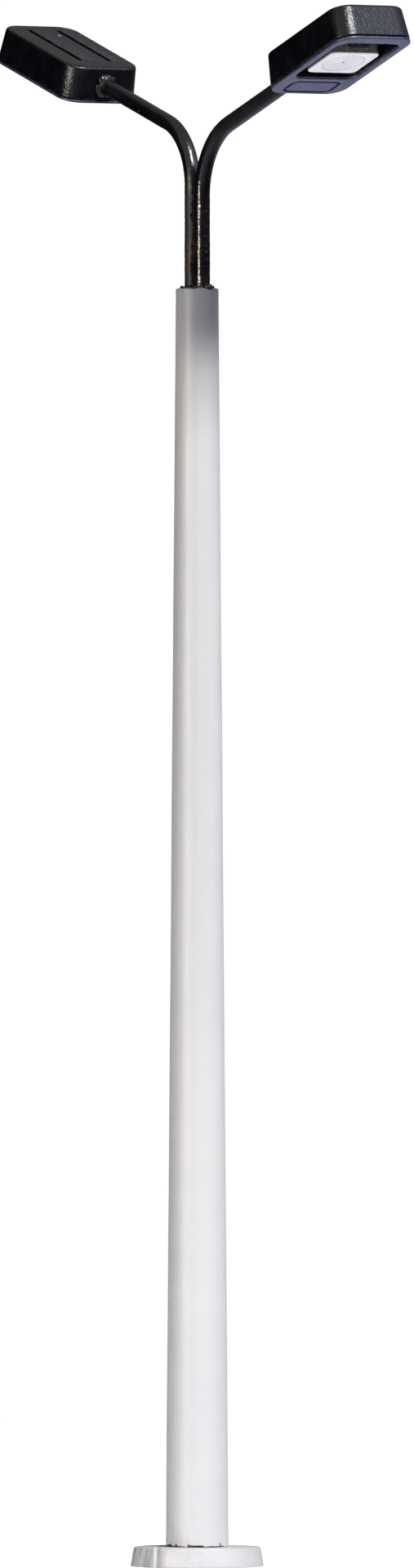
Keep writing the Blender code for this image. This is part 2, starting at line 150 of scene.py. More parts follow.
def uneven_foot(radius, angle, height):
    """Sprayed paint leaves the rim a little wavy, thickest along its top edge."""
    if radius < 2 * SOCKET_RADIUS:
        return radius, height
    swell = wave(angle, turns=5.0, seed=4.1, height=height, rise=0.9 * MM)
    reach = radius + FOOT_WAVINESS * swell * 0.5
    for middle, depth, spread in WITNESS_LINES:
        away = (angle - middle + math.pi) % math.tau - math.pi
        reach -= depth * math.exp(-((away / spread) ** 2))
    level = height
    if height > FOOT_TOP / 2:
        level += FOOT_WAVINESS * wave(angle, turns=9.0, seed=8.3)
    return reach, level


def new_group(name, inputs, outputs):
    """An empty shader node group with named sockets, and its two end nodes."""
    group = bpy.data.node_groups.new(name, "ShaderNodeTree")
    for label, kind, value in inputs:
        socket = group.interface.new_socket(name=label, in_out="INPUT", socket_type=kind)
        if value is not None:
            socket.default_value = value
    for label, kind in outputs:
        group.interface.new_socket(name=label, in_out="OUTPUT", socket_type=kind)
    return group, group.nodes.new("NodeGroupInput"), group.nodes.new("NodeGroupOutput")


def add_math(tree, operation, *values):
    """A Math node; each value is a number or a socket to link."""
    node = tree.nodes.new("ShaderNodeMath")
    node.operation = operation
    for index, value in enumerate(values):
        if isinstance(value, (int, float)):
            node.inputs[index].default_value = value
        else:
            tree.links.new(value, node.inputs[index])
    return node.outputs[0]


def add_range(tree, value, low, high, to_low=0.0, to_high=1.0):
    """Stretch the part of a value between low and high over a new range, eased at both ends."""
    node = tree.nodes.new("ShaderNodeMapRange")
    node.interpolation_type = "SMOOTHSTEP"
    tree.links.new(value, node.inputs["Value"])
    limits = {"From Min": low, "From Max": high, "To Min": to_low, "To Max": to_high}
    for label, limit in limits.items():
        node.inputs[label].default_value = limit
    return node.outputs["Result"]


def add_fall(tree, value, full, end, strength=1.0):
    """Full strength below one value, eased down to nothing at another."""
    return add_range(tree, value, full, end, strength, 0.0)


def add_band(tree, value, rise, fall, strength=1.0):
    """Full strength between two values; rise and fall give where each edge starts and ends."""
    return add_math(tree, "MULTIPLY", add_range(tree, value, *rise), add_fall(tree, value, *fall, strength))


def add_mix(tree, share, first, second):
    """Blend two colours, each a socket or a colour value."""
    node = tree.nodes.new("ShaderNodeMix")
    node.data_type = "RGBA"
    tree.links.new(share, node.inputs[0])
    for index, colour in ((6, first), (7, second)):
        if isinstance(colour, tuple):
            node.inputs[index].default_value = (*colour, 1.0)
        else:
            tree.links.new(colour, node.inputs[index])
    return node.outputs[2]


def add_stain(tree, colour, stain, *masks):
    """Lay a stain over a colour where all of the masks are up."""
    share = masks[0]
    for mask in masks[1:]:
        share = add_math(tree, "MULTIPLY", share, mask)
    return add_mix(tree, share, colour, stain)


def add_spot(tree):
    """The point on the surface, in the piece's own frame."""
    return tree.nodes.new("ShaderNodeTexCoord").outputs["Object"]


def add_axes(tree, spot):
    """The X, Y and Z of a point or a direction."""
    node = tree.nodes.new("ShaderNodeSeparateXYZ")
    tree.links.new(spot, node.inputs[0])
    return node.outputs


def add_measure(tree, operation, spot, other=(0, 0, 0)):
    """A number taken from two vectors, such as their distance or their dot product."""
    node = tree.nodes.new("ShaderNodeVectorMath")
    node.operation = operation
    tree.links.new(spot, node.inputs[0])
    node.inputs[1].default_value = other
    return node.outputs["Value"]


def add_noise(tree, spot, size_mm, detail=3.0, stretch=None):
    """Noise whose patches are about size_mm across; stretch scales the three directions."""
    if stretch is not None:
        scaling = tree.nodes.new("ShaderNodeVectorMath")
        scaling.operation = "MULTIPLY"
        tree.links.new(spot, scaling.inputs[0])
        scaling.inputs[1].default_value = stretch
        spot = scaling.outputs[0]
    node = tree.nodes.new("ShaderNodeTexNoise")
    tree.links.new(spot, node.inputs["Vector"])
    node.inputs["Detail"].default_value = detail
    tree.links.new(add_math(tree, "DIVIDE", 1 / MM, size_mm), node.inputs["Scale"])
    return node.outputs["Fac"]


def make_grained_finish():
    """Cloudy colour, uneven gloss and fine grain, as on any sprayed or moulded surface."""
    colour, number = "NodeSocketColor", "NodeSocketFloat"
    group, given, result = new_group(
        "grained_finish",
        [
            ("Colour", colour, None),
            ("Cloud Colour", colour, None),
            ("Cloud Size", number, 2.0),
            ("Grain Size", number, 0.1),
            ("Roughness", number, 0.5),
            ("Roughness Spread", number, 0.1),
        ],
        [("Colour", colour), ("Roughness", number), ("Height", number)],
    )
    spot = add_spot(group)
    clouds = add_noise(group, spot, given.outputs["Cloud Size"])
    grain = add_noise(group, spot, given.outputs["Grain Size"], detail=2.0)
    share = add_range(group, clouds, 0.36, 0.66)
    tinted = add_mix(group, share, given.outputs["Colour"], given.outputs["Cloud Colour"])
    swing = add_math(group, "SUBTRACT", add_math(group, "ADD", grain, clouds), 1.0)
    spread = given.outputs["Roughness Spread"]
    gloss = add_math(group, "MULTIPLY_ADD", swing, spread, given.outputs["Roughness"])
    group.links.new(tinted, result.inputs["Colour"])
    group.links.new(gloss, result.inputs["Roughness"])
    group.links.new(grain, result.inputs["Height"])
    return group


def make_edge_wear():
    """A second colour along sharp edges, broken up by noise."""
    colour, number = "NodeSocketColor", "NodeSocketFloat"
    group, given, result = new_group(
        "edge_wear",
        [("Colour", colour, None), ("Worn Colour", colour, None), ("Wear", number, 0.5)],
        [("Colour", colour), ("Mask", number)],
    )
    spot = add_spot(group)
    edge = add_range(group, group.nodes.new("ShaderNodeNewGeometry").outputs["Pointiness"], 0.52, 0.62)
    breakup = add_range(group, add_noise(group, spot, size_mm=0.25), 0.42, 0.60)
    mask = add_math(group, "MULTIPLY", add_math(group, "MULTIPLY", edge, breakup), given.outputs["Wear"])
    worn = add_mix(group, mask, given.outputs["Colour"], given.outputs["Worn Colour"])
    group.links.new(worn, result.inputs["Colour"])
    group.links.new(mask, result.inputs["Mask"])
    return group


def make_dust():
    """Single grains of dust, far apart and of uneven size."""
    colour, number = "NodeSocketColor", "NodeSocketFloat"
    group, given, result = new_group(
        "dust_specks",
        [
            ("Colour", colour, None),
            ("Dust Colour", colour, None),
            ("Spacing", number, 1.5),
            ("Speck Size", number, 0.05),
            ("Share", number, 0.3),
        ],
        [("Colour", colour), ("Mask", number)],
    )
    spot = add_spot(group)
    cells = group.nodes.new("ShaderNodeTexVoronoi")
    group.links.new(spot, cells.inputs["Vector"])
    group.links.new(add_math(group, "DIVIDE", 1 / MM, given.outputs["Spacing"]), cells.inputs["Scale"])
    split = group.nodes.new("ShaderNodeSeparateColor")
    group.links.new(cells.outputs["Color"], split.inputs[0])
    chosen = add_math(group, "LESS_THAN", split.outputs[0], given.outputs["Share"])
    reach = add_math(group, "DIVIDE", given.outputs["Speck Size"], given.outputs["Spacing"])
    grain_radius = add_math(group, "MULTIPLY", reach, split.outputs[1])
    near = add_math(group, "LESS_THAN", cells.outputs["Distance"], grain_radius)
    mask = add_math(group, "MULTIPLY", near, chosen)
    dusty = add_mix(group, mask, given.outputs["Colour"], given.outputs["Dust Colour"])
    group.links.new(dusty, result.inputs["Colour"])
    group.links.new(mask, result.inputs["Mask"])
    return group


GRAIN = make_grained_finish()
WEAR = make_edge_wear()
DUST = make_dust()


def add_group(tree, group, settings):
    """Place a node group in a material with its own values; a socket as a value is linked."""
    node = tree.nodes.new("ShaderNodeGroup")
    node.node_tree = group
    for label, value in settings.items():
        if isinstance(value, bpy.types.NodeSocket):
            tree.links.new(value, node.inputs[label])
        elif isinstance(value, tuple):
            node.inputs[label].default_value = (*value, 1.0)
        else:
            node.inputs[label].default_value = value
    return node


def add_bump(tree, shader, height, depth, strength=1.0):
    """Relief of a given depth on the shader's surface, laid over any relief it already has."""
    bump = tree.nodes.new("ShaderNodeBump")
    bump.inputs["Distance"].default_value = depth
    bump.inputs["Strength"].default_value = strength
    tree.links.new(height, bump.inputs["Height"])
    if shader.inputs["Normal"].is_linked:
        tree.links.new(shader.inputs["Normal"].links[0].from_socket, bump.inputs["Normal"])
    tree.links.new(bump.outputs["Normal"], shader.inputs["Normal"])


def start_material(name, grain, relief, wear=None, dust=None, **settings):
    """A Principled material with cloudy colour, grain, and edge wear and dust where asked.

    Returns the material, its node tree, its shader and the socket with the colour so far.
    """
    made = bpy.data.materials.new(name)
    made.use_nodes = True
    tree = made.node_tree
    shader = tree.nodes["Principled BSDF"]
    for label, value in settings.items():
        shader.inputs[label.replace("_", " ").title().replace("Ior", "IOR")].default_value = value
    surface = add_group(tree, GRAIN, grain)
    colour = surface.outputs["Colour"]
    if wear:
        colour = add_group(tree, WEAR, {"Colour": colour, **wear}).outputs["Colour"]
    if dust:
        colour = add_group(tree, DUST, {"Colour": colour, **dust}).outputs["Colour"]
    tree.links.new(colour, shader.inputs["Base Color"])
    tree.links.new(surface.outputs["Roughness"], shader.inputs["Roughness"])
    add_bump(tree, shader, surface.outputs["Height"], relief)
    return made, tree, shader, colour


foot_paint, foot_tree, foot_shader, foot_colour = start_material(
    "white_foot_paint",
    {
        "Colour": (0.80, 0.79, 0.80),
        "Cloud Colour": (0.75, 0.74, 0.755),
        "Cloud Size": 0.7,
        "Grain Size": 0.16,
        "Roughness": 0.50,
        "Roughness Spread": 0.20,
    },
    relief=0.010 * MM,
    wear={"Worn Colour": (0.66, 0.65, 0.64), "Wear": 0.5},
)

# Grey of the rim's spray streaks, also laid on as painted shade on the rim's left and beside the witness
# line.
RIM_STREAK_AND_PAINTED_SHADE_GREY = (0.50, 0.49, 0.50)
STREAK_NOISE = {"size_mm": 0.55, "detail": 2.0, "stretch": (1.0, 1.0, 0.04)}
LEFT_STREAK_AND_PAINTED_SHADE_FADE = (-2.6 * MM, -1.9 * MM)
# Painted highlight: a bright line along the witness line, where its edge catches the light.
WITNESS_PAINTED_HIGHLIGHT = (0.96, 0.95, 0.96)
WITNESS_HIGHLIGHT_BAND = ((-2.72 * MM, -2.62 * MM), (-2.56 * MM, -2.46 * MM))
WITNESS_SHADE = ((-2.46 * MM, -2.38 * MM), (-2.28 * MM, -2.12 * MM))


def add_rim_streaks_and_painted_light(tree, shader, colour):
    """Upright spray streaks on the left of the rim, greyed there also as painted shade, a painted highlight
    along one witness line beside them, and painted shade next to that.
    """
    spot = add_spot(tree)
    aside = add_measure(tree, "DOT_PRODUCT", spot, ACROSS_FRONT)
    streaks = add_range(tree, add_noise(tree, spot, **STREAK_NOISE), 0.38, 0.62, 0.0, 0.85)
    # Spray streaks and painted shade: grey only on the rim's left, the side away from the light.
    colour = add_stain(tree, colour, RIM_STREAK_AND_PAINTED_SHADE_GREY, streaks, add_fall(tree, aside, *LEFT_STREAK_AND_PAINTED_SHADE_FADE))
    # Painted highlight along the witness line.
    colour = add_stain(tree, colour, WITNESS_PAINTED_HIGHLIGHT, add_band(tree, aside, *WITNESS_HIGHLIGHT_BAND))
    # Painted shade in a strip beside the witness line.
    colour = add_stain(tree, colour, RIM_STREAK_AND_PAINTED_SHADE_GREY, add_band(tree, aside, *WITNESS_SHADE, 0.6))
    tree.links.new(colour, shader.inputs["Base Color"])


add_rim_streaks_and_painted_light(foot_tree, foot_shader, foot_colour)
foot_outline = [
    (OUTLET_RADIUS, 0.0),
    *rounded_corner((FOOT_RADIUS - FOOT_EDGE, 0.0), (FOOT_RADIUS, 0.0), (FOOT_RADIUS, FOOT_EDGE)),
    (FOOT_RADIUS - RIM_LEAN, FOOT_TOP * 0.35),
    (FOOT_RADIUS - 2 * RIM_LEAN, FOOT_TOP * 0.65),
    *rounded_corner(
        (FOOT_TOP_RADIUS, FOOT_TOP - FOOT_TOP_EDGE),
        (FOOT_TOP_RADIUS, FOOT_TOP),
        (FOOT_TOP_RADIUS - FOOT_TOP_EDGE, FOOT_TOP),
    ),
    (0.80 * FOOT_TOP_RADIUS, FOOT_TOP),
    (SOCKET_RADIUS, FOOT_TOP),
    (SOCKET_RADIUS, SOCKET_FLOOR),
    (OUTLET_RADIUS, SOCKET_FLOOR),
]
finished_piece(
    "painted_foot",
    turned(foot_outline, FOOT_SIDES, uneven_foot),
    foot_paint,
    ["foot_disc"],
)

# ---------------------------------------------------------------------------
# Mast
# A long tapered tube, sprayed satin white. Its spigot is pressed into the foot, so
# a ragged dark joint shows where the paint has broken, and its mouth is left open.
# ---------------------------------------------------------------------------
MAST_BOTTOM_RADIUS = mast_high.x
MAST_TOP_RADIUS = 1.32 * MM
MAST_TOP = mast_high.z
MAST_BORE = 1.09 * MM
MAST_SHOULDER = FOOT_TOP + 0.02 * MM
SPIGOT_RADIUS = SOCKET_RADIUS - 0.02 * MM
MAST_TOP_EDGE = 0.11 * MM
MAST_BOTTOM_EDGE = 0.05 * MM
MAST_SIDES = 144
MAST_RINGS = 90
MAST_WAVINESS = 0.012 * MM
JOINT_RAGGEDNESS = 0.13 * MM
JOINT_BAND = 0.6 * MM
MOUTH_RAGGEDNESS = 0.045 * MM
MOUTH_BAND = 0.4 * MM
MOUTH_DEPTH = 1.0 * MM


def uneven_mast(radius, angle, height):
    """Hand-sprayed wall: slightly wavy, ragged at the foot joint and round the mouth."""
    if radius <= SPIGOT_RADIUS and height < MAST_TOP / 2:
        return radius, height
    reach = radius + MAST_WAVINESS * wave(angle, turns=1.2, seed=2.7, height=height, rise=9 * MM)
    level = height
    if height < MAST_SHOULDER + JOINT_BAND:
        broken = max(0.0, wave(angle, turns=3.2, seed=5.2) + 0.12)
        chipped = 0.25 * abs(wave(angle, turns=14.0, seed=9.4))
        fade = 1 - (height - MAST_SHOULDER) / JOINT_BAND
        level += JOINT_RAGGEDNESS * fade * (broken + chipped)
    if height > MAST_TOP - MOUTH_BAND:
        level += MOUTH_RAGGEDNESS * (wave(angle, turns=4.0, seed=6.6) - 1)
        reach += MAST_WAVINESS * wave(angle, turns=9.0, seed=3.1)
    return reach, level


mast_paint, mast_tree, mast_shader, mast_colour = start_material(
    "white_mast_paint",
    {
        "Colour": (0.86, 0.855, 0.86),
        "Cloud Colour": (0.825, 0.82, 0.835),
        "Cloud Size": 4.0,
        "Grain Size": 0.12,
        "Roughness": 0.46,
        "Roughness Spread": 0.14,
    },
    relief=0.006 * MM,
)

PIT_COLOUR = (0.10, 0.07, 0.07)
PITS_FADE = (MAST_SHOULDER + 0.1 * MM, MAST_SHOULDER + 0.9 * MM)
PITS_OFF_MIDDLE = (1.1 * MM, 1.6 * MM)
BLOOM_COLOUR = (0.55, 0.53, 0.47)
BLOOM_FADE = (MAST_SHOULDER, MAST_SHOULDER + 2.4 * MM)
CRACK_COLOUR = (0.070, 0.030, 0.026)
CRACK_HEIGHT = (MAST_SHOULDER + 0.04 * MM, MAST_SHOULDER + 0.10 * MM)
CRACK_RAGGEDNESS = (-0.04 * MM, 0.10 * MM)
LEFT_CRACK_END = (-1.08 * MM, -1.00 * MM)
FRONT_CRACK = ((-0.64 * MM, -0.56 * MM), (0.36 * MM, 0.44 * MM))


def add_joint_stains(tree, spot, aside, height, colour):
    """Dark pits, a dull greenish bloom and two cracks in the paint just above the foot joint."""
    bloom = add_range(tree, add_noise(tree, spot, size_mm=1.6, detail=2.0), 0.50, 0.66)
    colour = add_stain(tree, colour, BLOOM_COLOUR, bloom, add_fall(tree, height, *BLOOM_FADE, 0.35))
    pits = add_range(tree, add_noise(tree, spot, size_mm=0.22, detail=1.0), 0.64, 0.70)
    off_middle = add_range(tree, add_math(tree, "ABSOLUTE", aside), *PITS_OFF_MIDDLE, 0.1, 1.0)
    colour = add_stain(tree, colour, PIT_COLOUR, pits, add_fall(tree, height, *PITS_FADE), off_middle)
    left_crack = add_fall(tree, aside, *LEFT_CRACK_END)
    cracks = add_math(tree, "MAXIMUM", left_crack, add_band(tree, aside, *FRONT_CRACK))
    ragged = add_noise(tree, spot, size_mm=0.30, detail=2.0)
    ragged = add_range(tree, ragged, 0.30, 0.70, *CRACK_RAGGEDNESS)
    low = add_fall(tree, add_math(tree, "SUBTRACT", height, ragged), *CRACK_HEIGHT)
    return add_stain(tree, colour, CRACK_COLOUR, low, cracks)


TINTED_TOP = (MAST_TOP - 22 * MM, MAST_TOP - 3 * MM)
YELLOWED_PAINT = (0.84, 0.84, 0.74)
YELLOWED_FADE = (-1.1 * MM, -0.1 * MM)
# Painted shade: greyer and darker on the right near the top, where the heads' shadow falls.
RIGHT_PAINTED_SHADE = (0.76, 0.735, 0.785)
RIGHT_PAINTED_SHADE_FROM = (-0.1 * MM, 0.8 * MM)
# Painted shade: darker up the middle of the upper mast.
UPPER_PAINTED_SHADE = (0.755, 0.755, 0.76)
UPPER_PAINTED_SHADE_FROM = (16 * MM, 56 * MM)
UPPER_PAINTED_SHADE_MIDDLE = -0.2 * MM
UPPER_PAINTED_SHADE_FADE = (0.6 * MM, 1.5 * MM)
# Painted shadow of the heads and arms at the top of the mast.
CAP_PAINTED_SHADOW = (0.43, 0.43, 0.455)
CAP_PAINTED_SHADOW_FROM = (MAST_TOP - 5.6 * MM, MAST_TOP - 1.6 * MM)
CAP_PAINTED_SHADOW_SIDE = (-1.3 * MM, -0.2 * MM)


def add_mast_tint_and_painted_shade(tree, aside, height, colour):
    """A yellower tint on the left near the top; painted shade that is greyer and darker on the right near
    the top and darker up the middle of the upper mast; a painted shadow of the heads at the cap.
    """
    top = add_range(tree, height, *TINTED_TOP)
    colour = add_stain(tree, colour, YELLOWED_PAINT, top, add_fall(tree, aside, *YELLOWED_FADE))
    # Painted shade on the right near the top.
    colour = add_stain(tree, colour, RIGHT_PAINTED_SHADE, top, add_range(tree, aside, *RIGHT_PAINTED_SHADE_FROM))
    upper = add_range(tree, height, *UPPER_PAINTED_SHADE_FROM)
    off_middle = add_math(tree, "ABSOLUTE", add_math(tree, "SUBTRACT", aside, UPPER_PAINTED_SHADE_MIDDLE))
    # Painted shade up the middle of the upper mast.
    colour = add_stain(tree, colour, UPPER_PAINTED_SHADE, upper, add_fall(tree, off_middle, *UPPER_PAINTED_SHADE_FADE))
    # Painted shadow of the heads at the cap, strongest on the right.
    cap = add_range(tree, height, *CAP_PAINTED_SHADOW_FROM, 0.0, 0.95)
    return add_stain(tree, colour, CAP_PAINTED_SHADOW, cap, add_range(tree, aside, *CAP_PAINTED_SHADOW_SIDE, 0.35, 1.0))


def stain_and_shade_mast_paint(tree, shader, colour):
    """Stains at the joint, a tint and painted shade over the length, and faint upright spray streaks."""
    spot = add_spot(tree)
    aside = add_measure(tree, "DOT_PRODUCT", spot, ACROSS_FRONT)
    height = add_axes(tree, spot)["Z"]
    colour = add_joint_stains(tree, spot, aside, height, colour)
    colour = add_mast_tint_and_painted_shade(tree, aside, height, colour)
    tree.links.new(colour, shader.inputs["Base Color"])
    streaks = add_noise(tree, spot, size_mm=0.35, detail=2.0, stretch=(1.0, 1.0, 0.06))
    add_bump(tree, shader, streaks, depth=0.008 * MM)


stain_and_shade_mast_paint(mast_tree, mast_shader, mast_colour)
mast_outline = [
    (MAST_BORE, mast_low.z),
    (SPIGOT_RADIUS, mast_low.z),
    (SPIGOT_RADIUS, MAST_SHOULDER),
]
mast_outline += rounded_corner(
    (MAST_BOTTOM_RADIUS - MAST_BOTTOM_EDGE, MAST_SHOULDER),
    (MAST_BOTTOM_RADIUS, MAST_SHOULDER),
    (MAST_BOTTOM_RADIUS, MAST_SHOULDER + MAST_BOTTOM_EDGE),
)
for ring in range(1, MAST_RINGS):
    climb = ring / MAST_RINGS
    radius = MAST_BOTTOM_RADIUS + climb * (MAST_TOP_RADIUS - MAST_BOTTOM_RADIUS)
    level = MAST_SHOULDER + climb * (MAST_TOP - MAST_TOP_EDGE - MAST_SHOULDER)
    mast_outline.append((radius, level))
mast_outline += rounded_corner(
    (MAST_TOP_RADIUS, MAST_TOP - MAST_TOP_EDGE),
    (MAST_TOP_RADIUS, MAST_TOP),
    (MAST_TOP_RADIUS - MAST_TOP_EDGE, MAST_TOP),
)
mast_outline += [(MAST_BORE, MAST_TOP), (MAST_BORE, MAST_TOP - MOUTH_DEPTH)]
finished_piece(
    "painted_mast",
    turned(mast_outline, MAST_SIDES, uneven_mast),
    mast_paint,
    ["mast"],
)

# ---------------------------------------------------------------------------
# Arm tubes
# Two drawn brass tubes side by side, bent apart into a fork and dipped in black
# lacquer, which has run and gathered in fine ripples along the upright stem.
# ---------------------------------------------------------------------------
tube_low, tube_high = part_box("arm_tube_right")
TUBE_RADIUS = tube_high.y
TUBE_BORE = 0.33 * MM
TUBE_OFFSET = tube_low.x + TUBE_RADIUS
TUBE_BOTTOM = tube_low.z
TUBE_IN_HEAD = 1.55 * MM
TUBE_SIDES = 40
RING_SPACING = 0.07 * MM
RIPPLED_HEIGHT = 7.5 * MM
RIPPLED_FADE = 1.2 * MM
HEAD_TILT = math.radians(18.65)
HEAD_LENGTH = 9.62 * MM
HEAD_THICKNESS = 2.30 * MM
FRAME_THICKNESS = 0.16 * MM
ARMS = {
    "right": {"side": 1, "bend": 4.62 * MM, "entry": 0.10 * MM, "seed": 11.0},
    "left": {"side": -1, "bend": 4.25 * MM, "entry": 0.00 * MM, "seed": 23.0},
}


def head_place(side):
    """World matrix of a lamp head: own X outward along the arm, own Z off its flat top."""
    low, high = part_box(f"light_frame_{side}")
    facing = Matrix.Rotation(0 if ARMS[side]["side"] > 0 else math.pi, 4, "Z")
    turn = facing @ Matrix.Rotation(-HEAD_TILT, 4, "Y")
    plate_height = (FRAME_THICKNESS - HEAD_THICKNESS) / 2
    return Matrix.Translation((low + high) / 2) @ turn @ Matrix.Translation((0, 0, -plate_height))


def tube_route(side):
    """Centre line of one tube in close steps: upright, bend, then straight into the head."""
    arm = ARMS[side]
    place = head_place(side)
    stop = place @ Vector((TUBE_IN_HEAD - HEAD_LENGTH / 2, 0, arm["entry"]))
    turn = math.pi / 2 - HEAD_TILT
    bend_end_x = TUBE_OFFSET + arm["bend"] * (1 - math.cos(turn))
    bend_end_z = stop.z - (abs(stop.x) - bend_end_x) * math.tan(HEAD_TILT)
    bend_start_z = bend_end_z - arm["bend"] * math.sin(turn)
    bend_end = Vector((arm["side"] * bend_end_x, 0, bend_end_z))
    route = []
    steps = round((bend_start_z - TUBE_BOTTOM) / RING_SPACING)
    for step in range(steps):
        height = TUBE_BOTTOM + (bend_start_z - TUBE_BOTTOM) * step / steps
        route.append(Vector((arm["side"] * TUBE_OFFSET, 0, height)))
    steps = round(arm["bend"] * turn / RING_SPACING)
    for step in range(steps):
        angle = turn * step / steps
        across = TUBE_OFFSET + arm["bend"] * (1 - math.cos(angle))
        route.append(Vector((arm["side"] * across, 0, bend_start_z + arm["bend"] * math.sin(angle))))
    steps = round((stop - bend_end).length / RING_SPACING)
    for step in range(steps + 1):
        route.append(bend_end.lerp(stop, step / steps))
    return route


def lacquer_depth(spot, seed):
    """How far the lacquer stands proud: ripples on the stem, a few runs on the arms."""
    stem = min(1.0, max(0.0, (MAST_TOP + RIPPLED_HEIGHT - spot.z) / RIPPLED_FADE))
    shift = Vector((seed, seed, seed))
    ripple = noise.noise(Vector((spot.x / 0.30, spot.y / 0.30, spot.z / 0.16)) / MM + shift)
    runs = noise.noise(Vector((spot.x / 0.9, spot.y / 0.9, spot.z / 2.2)) / MM + shift)
    return MM * ((0.004 + 0.008 * stem) * ripple + (0.006 + 0.012 * stem) * runs)


def coated_tube(route, radius, bore, seed):
    """A hollow tube along a run of points, with its outside disturbed by the lacquer."""
    shape = bmesh.new()
    tangents = []
    for index in range(len(route)):
        ahead = route[min(index + 1, len(route) - 1)]
        behind = route[max(index - 1, 0)]
        tangents.append((ahead - behind).normalized())
    sideways = Vector((0, 1, 0))
    outer, inner = [], []
    for point, tangent in zip(route, tangents):
        aside = tangent.cross(sideways)
        for rings, reach in ((outer, radius), (inner, bore)):
            ring = []
            for side in range(TUBE_SIDES):
                angle = math.tau * side / TUBE_SIDES
                outward = math.cos(angle) * sideways + math.sin(angle) * aside
                spot = point + reach * outward
                if rings is outer:
                    spot += lacquer_depth(spot, seed) * outward
                ring.append(shape.verts.new(spot))
            rings.append(ring)
    for rings in (outer, inner):
        for first, second in zip(rings, rings[1:]):
            bridge(shape, first, second)
    bridge(shape, outer[0], inner[0])
    bridge(shape, outer[-1], inner[-1])
    return shape


tube_lacquer, tube_tree, tube_shader, tube_colour = start_material(
    "black_tube_lacquer",
    {
        "Colour": (0.0030, 0.0026, 0.0036),
        "Cloud Colour": (0.0060, 0.0042, 0.0058),
        "Cloud Size": 1.1,
        "Grain Size": 0.13,
        "Roughness": 0.19,
        "Roughness Spread": 0.14,
    },
    relief=0.016 * MM,
    dust={"Dust Colour": (0.45, 0.44, 0.47), "Spacing": 0.8, "Speck Size": 0.10, "Share": 0.25},
)

THIN_LACQUER = (0.055, 0.013, 0.011)
THIN_FADE = (MAST_TOP + 0.6 * MM, MAST_TOP + 6.0 * MM)
STEM_FADE = (84.3 * MM, 86.8 * MM)
LEFT_STEM_DULLNESS = 0.38
RIGHT_ARM_FROM = (1.0 * MM, 3.0 * MM)
RIGHT_ARM_DULLNESS = 0.30


def add_thin_lacquer(tree, shader, colour):
    """Low on the stem the brass glows through; the left stem and the right arm are duller."""
    spot = add_spot(tree)
    x, _, z = add_axes(tree, spot)
    thin = add_range(tree, add_noise(tree, spot, 0.9, detail=2.0, stretch=(1.0, 1.0, 0.35)), 0.50, 0.70)
    colour = add_stain(tree, colour, THIN_LACQUER, thin, add_fall(tree, z, *THIN_FADE))
    tree.links.new(colour, shader.inputs["Base Color"])
    left = add_fall(tree, x, -TUBE_OFFSET / 2, 0.0)
    left_stem = add_math(tree, "MULTIPLY", add_fall(tree, z, *STEM_FADE), left)
    left_stem = add_math(tree, "MULTIPLY", left_stem, LEFT_STEM_DULLNESS)
    right_arm = add_range(tree, x, *RIGHT_ARM_FROM, 0.0, RIGHT_ARM_DULLNESS)
    gloss = shader.inputs["Roughness"].links[0].from_socket
    duller = add_math(tree, "ADD", gloss, add_math(tree, "ADD", left_stem, right_arm))
    tree.links.new(duller, shader.inputs["Roughness"])


add_thin_lacquer(tube_tree, tube_shader, tube_colour)
for side in ARMS:
    finished_piece(
        f"lacquered_arm_{side}",
        coated_tube(tube_route(side), TUBE_RADIUS, TUBE_BORE, ARMS[side]["seed"]),
        tube_lacquer,
        [f"arm_tube_{side}"],
    )

# ---------------------------------------------------------------------------
# Solder web
# Soft solder that joins the two uprights along both grooves. It was run in by hand,
# so it swells and thins, and it was lacquered over with the tubes.
# ---------------------------------------------------------------------------
web_low, web_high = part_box("stem_solder_web")
WEB_HALF_DEPTH = web_high.y
WEB_RING_SPACING = 0.09 * MM
WEB_SIDE_STEPS = 8
WEB_FACE_STEPS = 6
TOUCHING = 0.01 * MM
WEB_TUBE_RADIUS = TUBE_RADIUS - TOUCHING
WEB_DEEPEST = 0.86 * TUBE_RADIUS
WEB_PROUD = 0.05 * MM
WEB_SWELL = 0.10 * MM
WEB_LUMP = 0.06 * MM
WEB_FACE_DIP = 0.05 * MM

stem_solder, *_ = start_material(
    "lacquered_solder",
    {
        "Colour": (0.006, 0.005, 0.005),
        "Cloud Colour": (0.018, 0.011, 0.009),
        "Cloud Size": 0.45,
        "Grain Size": 0.10,
        "Roughness": 0.28,
        "Roughness Spread": 0.16,
    },
    relief=0.014 * MM,
)


def web_depth(across, climb):
    """How far the web stands out on one side, with its slow swell and its small lumps."""
    swell = WEB_SWELL * noise.noise(Vector((across * 7.3, 1.7, climb / 0.55)))
    lump = WEB_LUMP * noise.noise(Vector((across * 3.1, 9.2, climb / 0.20)))
    return min(WEB_DEEPEST, WEB_HALF_DEPTH + WEB_PROUD + swell + lump)


def web_hollow(across, angle, height):
    """A point of the web on a tube's wall; across tells which tube, angle where on it."""
    x = across * (TUBE_OFFSET - WEB_TUBE_RADIUS * math.cos(angle))
    return Vector((x, -across * WEB_TUBE_RADIUS * math.sin(angle), height))


def web_ring(height):
    """Outline of the web at one height: two hollows for the tubes, two lumpy faces."""
    points = []
    for across in (1, -1):
        depth = web_depth(across, height / MM)
        reach = math.asin(depth / WEB_TUBE_RADIUS)
        edge_x = TUBE_OFFSET - WEB_TUBE_RADIUS * math.cos(reach)
        for step in range(WEB_FACE_STEPS + 1):
            share = 1 - 2 * step / WEB_FACE_STEPS
            dip = WEB_FACE_DIP * (1 - share * share)
            points.append(Vector((across * share * edge_x, across * (depth - dip), height)))
        for step in range(1, WEB_SIDE_STEPS + 1):
            points.append(web_hollow(-across, reach * (1 - step / WEB_SIDE_STEPS), height))
        other_reach = math.asin(web_depth(-across, height / MM) / WEB_TUBE_RADIUS)
        for step in range(1, WEB_SIDE_STEPS):
            points.append(web_hollow(-across, -other_reach * step / WEB_SIDE_STEPS, height))
    return points


